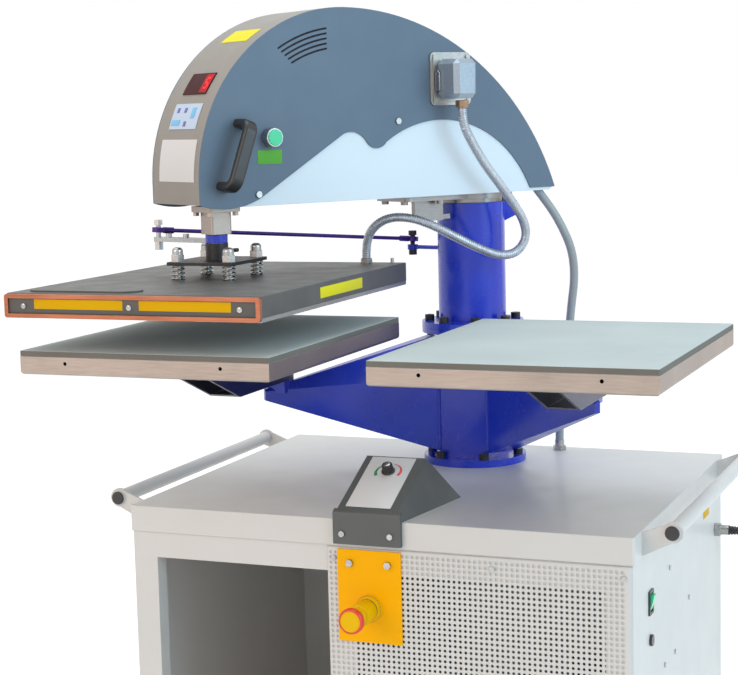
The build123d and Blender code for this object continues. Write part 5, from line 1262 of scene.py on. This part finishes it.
@dataclass
class SwingHead:
    """The swing head: arm, covers, front strip and all that is fixed to them."""

    nose_ahead: float = 300.0
    nose_rise: float = 494.0
    nose_radius: float = 261.0
    cover: float = 74.0
    panel_shift: float = 4.0
    vents_a_side: int = 5
    vent_depth: float = 30.5
    vent_pitch: float = 7.6
    vent_low: float = 59.1
    vent_slant: float = 0.65
    vent_span: float = 23.5
    vent_taper: float = 0.95
    vent_half: float = 1.45
    # Where the dark sheet of painted shade stands inside the vent slots.
    shade_sheet_depths: tuple[float, float] = (71.45, 72.2)
    hood_foot: tuple[float, float, float] = (107.0, 82.0, 643.0)
    hood_size: tuple[float, float, float] = (44.0, 62.0, 54.0)
    hood_chamfer: float = 7.5
    lever_reach: float = 24.0
    hose_exit: tuple[float, float, float] = (100.0, 112.0, 597.0)
    green_plate_middle: tuple[float, float] = (438.5, 530.0)
    green_plate_size: tuple[float, float, float] = (43.0, 21.0, 0.5)

    def on_nose(self, angle: float, right: float, lift: float = 0.0) -> Matrix:
        """A frame on the front strip, with x to the right and y up the strip.

        Args:
            angle: How far up the strip's curve, in degrees above level.
            right: How far to the right of the arm's middle.
            lift: How far proud of the strip.

        Returns:
            The frame as a matrix.
        """
        turn = math.radians(angle)
        normal = AHEAD * math.cos(turn) + UP * math.sin(turn)
        middle = on_arm(self.nose_ahead, right, self.nose_rise)
        return stand(middle + normal * (self.nose_radius + lift), normal, RIGHT)

    def bent(
        self, name: str, low: float, high: float, half: float, lift: float, thick: float, finish: Finish,
        shift: float | None = None, replaces: tuple[str, ...] = (), slot: str = "panel_white",
    ) -> None:
        """A thin plate bent to the front strip.

        Args:
            name: The piece's name.
            low: Where it starts up the strip's curve, in degrees.
            high: Where it ends.
            half: Half its width.
            lift: How far its back is proud of the strip.
            thick: Its thickness.
            finish: Its finish.
            shift: How far right its middle is.
            replaces: The CAD nodes that it replaces.
            slot: The record's material slot.
        """
        right = self.panel_shift if shift is None else shift
        shape = Shape()
        corners = [(-half, 0.0), (half, 0.0), (half, -thick), (-half, -thick)]
        verts = [shape.bm.verts.new(self.on_nose(low, right + x, lift - z).translation) for x, z in corners]
        face = shape.bm.faces.new(verts)
        bmesh.ops.spin(
            shape.bm, geom=[face, *face.edges, *face.verts], cent=on_arm(self.nose_ahead, 0, self.nose_rise),
            axis=RIGHT, angle=math.radians(low - high), steps=max(2, round((high - low) * 1.5)),
        )
        bmesh.ops.recalc_face_normals(shape.bm, faces=shape.bm.faces)
        shape.soften(shape.bm.verts, min(0.2, thick / 4), 1, 60.0)
        shape.finish(name, "head", finish, slot, replaces)

    def build(self) -> None:
        """Dresses the head's nodes and adds its finer pieces."""
        dress(Finish.SLATE, "side_covers")
        dress(Finish.WARM_GREY, "hood_strip")
        dress(Finish.WHITE, "arm_beam")
        dress(Finish.BLACK_PLASTIC, "grip")
        dress(Finish.NICKEL, "start_bezel", "cover_screws")
        dress(Finish.GREEN_LENS, "start_button")
        dress(Finish.CAST, "connector_base")
        dress(Finish.TURNED, "head_flange")
        dress(Finish.ALUMINIUM, "guide_block")
        dress(Finish.TURNED, "press_actuator", "ram")
        dress(Finish.BOARD, "control_board")
        self.panel()
        self.vents()
        self.labels()
        self.connector()

    def panel(self) -> None:
        """The display window, the keypad and the bare label plate."""
        self.bent(
            "display_window", 30.4, 38.7, 35.0, 0.05, 1.5, Finish.WINDOW,
            replaces=("control_panel",), slot="display",
        )
        self.bent("keypad_membrane", 18.0, 27.0, 41.0, 0.05, 0.8, Finish.KEYPAD)
        self.bent("bare_label_plate", 0.5, 14.5, 54.0, 0.05, 0.5, Finish.WHITE_LABEL)
        keys = Shape()
        for angle, right, wide, tall in ((20.2, -20.0, 26.0, 9.0), (23.6, 26.0, 12.0, 17.0)):
            keys.block(self.on_nose(angle, right, 0.75), (wide, tall, 0.6), 0.3)
        keys.finish("keypad_blue_keys", "head", Finish.KEY_BLUE, "panel_white")
        marks = Shape()
        for angle, right in ((24.6, -22.0), (24.6, 0.0), (19.8, 8.0)):
            marks.block(self.on_nose(angle, right, 0.75), (8.0, 8.0, 0.5), 0.2)
        marks.finish("keypad_violet_keys", "head", Finish.KEY_INK, "panel_white")
        self.digits()

    def digits(self) -> None:
        """The display's lit figure, of seven-segment bars."""
        shape = Shape()
        wide, tall, bar = 9.0, 18.0, 2.4
        at = self.on_nose(34.55, self.panel_shift + 24.0, 1.5)
        for x, y, upright in ((0, 1, False), (1, -0.5, True), (0, -1, False), (-1, 0.5, True), (0, 0, False)):
            size = (bar, tall / 2 - bar, 0.4) if upright else (wide - bar, bar, 0.4)
            shape.block(at @ Matrix.Translation((x * wide / 2, y * tall / 2, 0.0)), size, 0.15, 1)
        shape.finish("display_lit_segments", "head", Finish.LIT_RED, "display")
        self.bent(
            "display_lit_field", 31.0, 38.1, 11.0, 1.56, 0.1, Finish.RED_FIELD, shift=27.0, slot="display"
        )

    def vents(self) -> None:
        """A dark sheet in the covers' five curved slots, as painted shade for the dark inside."""
        shape = Shape()
        for side in (-1, 1):
            for i in range(self.vents_a_side):
                radius = self.nose_radius - self.vent_depth - self.vent_pitch * i
                turn = math.radians(self.vent_low + self.vent_slant * i)
                verts = []
                for reach in (radius - self.vent_half, radius + self.vent_half):
                    ahead = self.nose_ahead + reach * math.cos(turn)
                    rise = self.nose_rise + reach * math.sin(turn)
                    for depth in self.shade_sheet_depths:
                        verts.append(shape.bm.verts.new(on_arm(ahead, side * depth, rise)))
                face = shape.bm.faces.new([verts[0], verts[1], verts[3], verts[2]])
                bmesh.ops.spin(
                    shape.bm, geom=[face, *face.edges, *face.verts],
                    cent=on_arm(self.nose_ahead, 0, self.nose_rise), axis=RIGHT,
                    angle=-math.radians(self.vent_span - self.vent_taper * i), steps=16,
                )
        bmesh.ops.recalc_face_normals(shape.bm, faces=shape.bm.faces)
        shape.finish("vent_slot_shade_sheet", "head", Finish.DARK_VOID, "black_plastic")

    def labels(self) -> None:
        """The bare yellow strip on the nose and the bare green plate under the start button."""
        self.bent("yellow_bare_strip", 53.8, 61.2, 38.0, 0.05, 0.4, Finish.YELLOW_LABEL, slot="stop_yellow")
        plate = Shape()
        ahead, rise = self.green_plate_middle
        plate.block(stand(on_arm(ahead, self.cover, rise), RIGHT, AHEAD), self.green_plate_size, 0.15)
        plate.finish("green_bare_plate", "head", Finish.GREEN_LABEL, "button_green")

    def connector(self) -> None:
        """The connector's chamfered hood, its lever, and the copper-coloured gland of the hose."""
        hood = Shape()
        hood.block(stand(on_arm(*self.hood_foot), RIGHT, AHEAD), self.hood_size, self.hood_chamfer, 1)
        hood.finish("connector_hood_shell", "head", Finish.HOOD, "cast_block", ("connector_hood",))
        lever = Shape()
        for way in (-1, 1):
            ahead = self.hood_foot[0] + way * self.lever_reach
            lever.block(stand(on_arm(ahead, 84, 640), RIGHT, AHEAD), (3.0, 30.0, 12.0), 1.0)
            lever.drum(stand(on_arm(ahead, 91, 655), AHEAD, UP), 3.0, 2.4, 20, soft=0.5)
        lever.finish("connector_hood_levers", "head", Finish.NICKEL, "bright_steel")
        gland = Shape()
        under = stand(on_arm(*self.hose_exit), UP, AHEAD)
        gland.drum(under @ Matrix.Translation((0, 0, 3.0)), 10.8, 9.0, 6, soft=0.8)
        gland.lathe(under, [(7.7, 0.0), (9.2, 0.0), (9.6, 0.6), (9.6, 3.2), (7.7, 3.2), (7.7, 0.0)], 36)
        gland.finish("hose_gland_upper", "head", Finish.BRASS, "cast_block")


@dataclass
class PressSpindle:
    """The spindle with its link arm, spring plate, link rod and hub ring."""

    def build(self) -> None:
        """Dresses the spindle's nodes."""
        dress(Finish.TURNED, "press_shaft")
        dress(Finish.NICKEL, "link_arm", "link_joint")
        dress(Finish.BLACK_STEEL, "spring_plate")
        dress(Finish.VIOLET, "link_rod")
        ring = Shape()
        spot = Vector((-STATION.x, STATION.y, TOP + 400.4))
        ring.lathe(stand(spot, UP, EAST), [
            (12.4, 0), (16.6, 0), (17.2, 0.6), (17.2, 12.4), (16.6, 13.0), (12.4, 13.0), (12.4, 0),
        ], 48)
        ring.finish("hub_blue_ring", "press_shaft", Finish.BLUE, "cradle_blue")


@dataclass
class HeatPlaten:
    """The heat platen with its front frame, bare strips, studs and springs."""

    low: float = 1012.0
    high: float = 1048.0
    front: float = -417.5
    half: float = 203.0
    panel_step: float = 2.4
    strip_rise: float = 21.0
    front_strips: tuple[tuple[float, float], ...] = ((-426.0, -282.0), (-256.0, -113.0))
    side_strip_y: float = -130.0
    screw_pitch: float = 172.0
    spring_radius: float = 9.0
    stud_x: float = 43.0
    stud_y: float = 48.0
    wire: float = 1.35
    turns: int = 4

    def build(self) -> None:
        """Dresses the platen's nodes and adds strips, screws and springs."""
        dress(Finish.MATT_BLACK, "platen_cover")
        dress(Finish.CAST, "heating_block")
        dress(Finish.COPPER, "platen_front")
        dress(Finish.NICKEL, "platen_studs")
        self.front_panel()
        self.springs()

    def front_panel(self) -> None:
        """The dark panel in the copper-coloured frame, and the bare yellow strips."""
        centre = Vector((-STATION.x, self.front, (self.low + self.high) / 2))
        at = stand(centre + NORTH * 3.0, -NORTH, EAST)
        panel = Shape()
        panel.block(at, (394.0, 22.0, 0.6), 0.2)
        panel.finish("front_dark_panel", "heat_platen", Finish.MATT_BLACK, "platen_black")
        strips = Shape()
        for left, right in self.front_strips:
            spot = Vector(((left + right) / 2, self.front + self.panel_step, self.low + self.strip_rise))
            strips.block(stand(spot, -NORTH, EAST), (right - left, 14.0, 0.5), 0.15)
        strips.finish("platen_front_strips", "heat_platen", Finish.AMBER_LABEL, "stop_yellow")
        screws = Shape()
        profile = [(0.0, 0.0), (4.2, 0.0), (4.2, 0.5), (3.4, 1.2), (1.8, 1.5), (1.8, 0.9), (0.0, 0.9)]
        for x in (-self.screw_pitch, 0.0, self.screw_pitch):
            head = stand(Vector((-STATION.x + x, self.front + 1.6, (self.low + self.high) / 2)), -NORTH, EAST)
            screws.lathe(head, profile, 32)
        screws.finish("front_pan_screws", "heat_platen", Finish.NICKEL, "bright_steel")
        strips = Shape()
        spot = Vector((-STATION.x + self.half, self.side_strip_y, self.low + self.strip_rise))
        strips.block(stand(spot, EAST, NORTH), (162.0, 16.0, 0.4), 0.1)
        strips.finish("platen_side_strip", "heat_platen", Finish.YELLOW_LABEL, "stop_yellow")

    def springs(self) -> None:
        """The four coil springs round the studs, with closed ends."""
        shape = Shape()
        low, high = self.high + self.wire, TOP + 370.0 - self.wire
        for x in (-STATION.x - self.stud_x, -STATION.x + self.stud_x):
            for y in (STATION.y - self.stud_y, STATION.y + self.stud_y):
                spot = Vector((x, y, 0.0))
                start = stand(spot + EAST * self.spring_radius + UP * low, NORTH, EAST)
                ring = bmesh.ops.create_circle(shape.bm, segments=10, radius=self.wire, matrix=start)["verts"]
                edges = list({e for v in ring for e in v.link_edges})
                closed = (0.75, 0.4)
                for turns, climb in (closed, (self.turns - 1.0, high - low - 0.8), closed):
                    steps = round(turns * 28)
                    made = bmesh.ops.spin(
                        shape.bm, geom=ring + edges, cent=spot, axis=UP, angle=math.tau * turns,
                        steps=steps, dvec=UP * (climb / steps),
                    )["geom_last"]
                    ring = [v for v in made if isinstance(v, bmesh.types.BMVert)]
                    edges = [e for e in made if isinstance(e, bmesh.types.BMEdge)]
        bmesh.ops.holes_fill(shape.bm, edges=[e for e in shape.bm.edges if e.is_boundary], sides=0)
        bmesh.ops.recalc_face_normals(shape.bm, faces=shape.bm.faces)
        made = shape.finish("stud_springs", None, Finish.NICKEL, "bright_steel", ("springs",))
        spot = Vector((-STATION.x, STATION.y, 0.0))
        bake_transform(made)


def main() -> None:
    """Builds the stage and every sub-assembly."""
    logging.basicConfig(level=logging.INFO, format="%(name)s %(message)s")
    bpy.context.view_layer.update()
    for part in (
        Studio(), MainsLead(), RearHose(), PlatenHose(), Cabinet(), ControlWedge(), EmergencyStop(),
        Cradle(), Stations(), SwingHead(), PressSpindle(), HeatPlaten(),
    ):
        part.build()
        log.info("built %s", type(part).__name__)
    bpy.context.scene.view_settings.view_transform = "Standard"


if __name__ == "__main__":
    main()
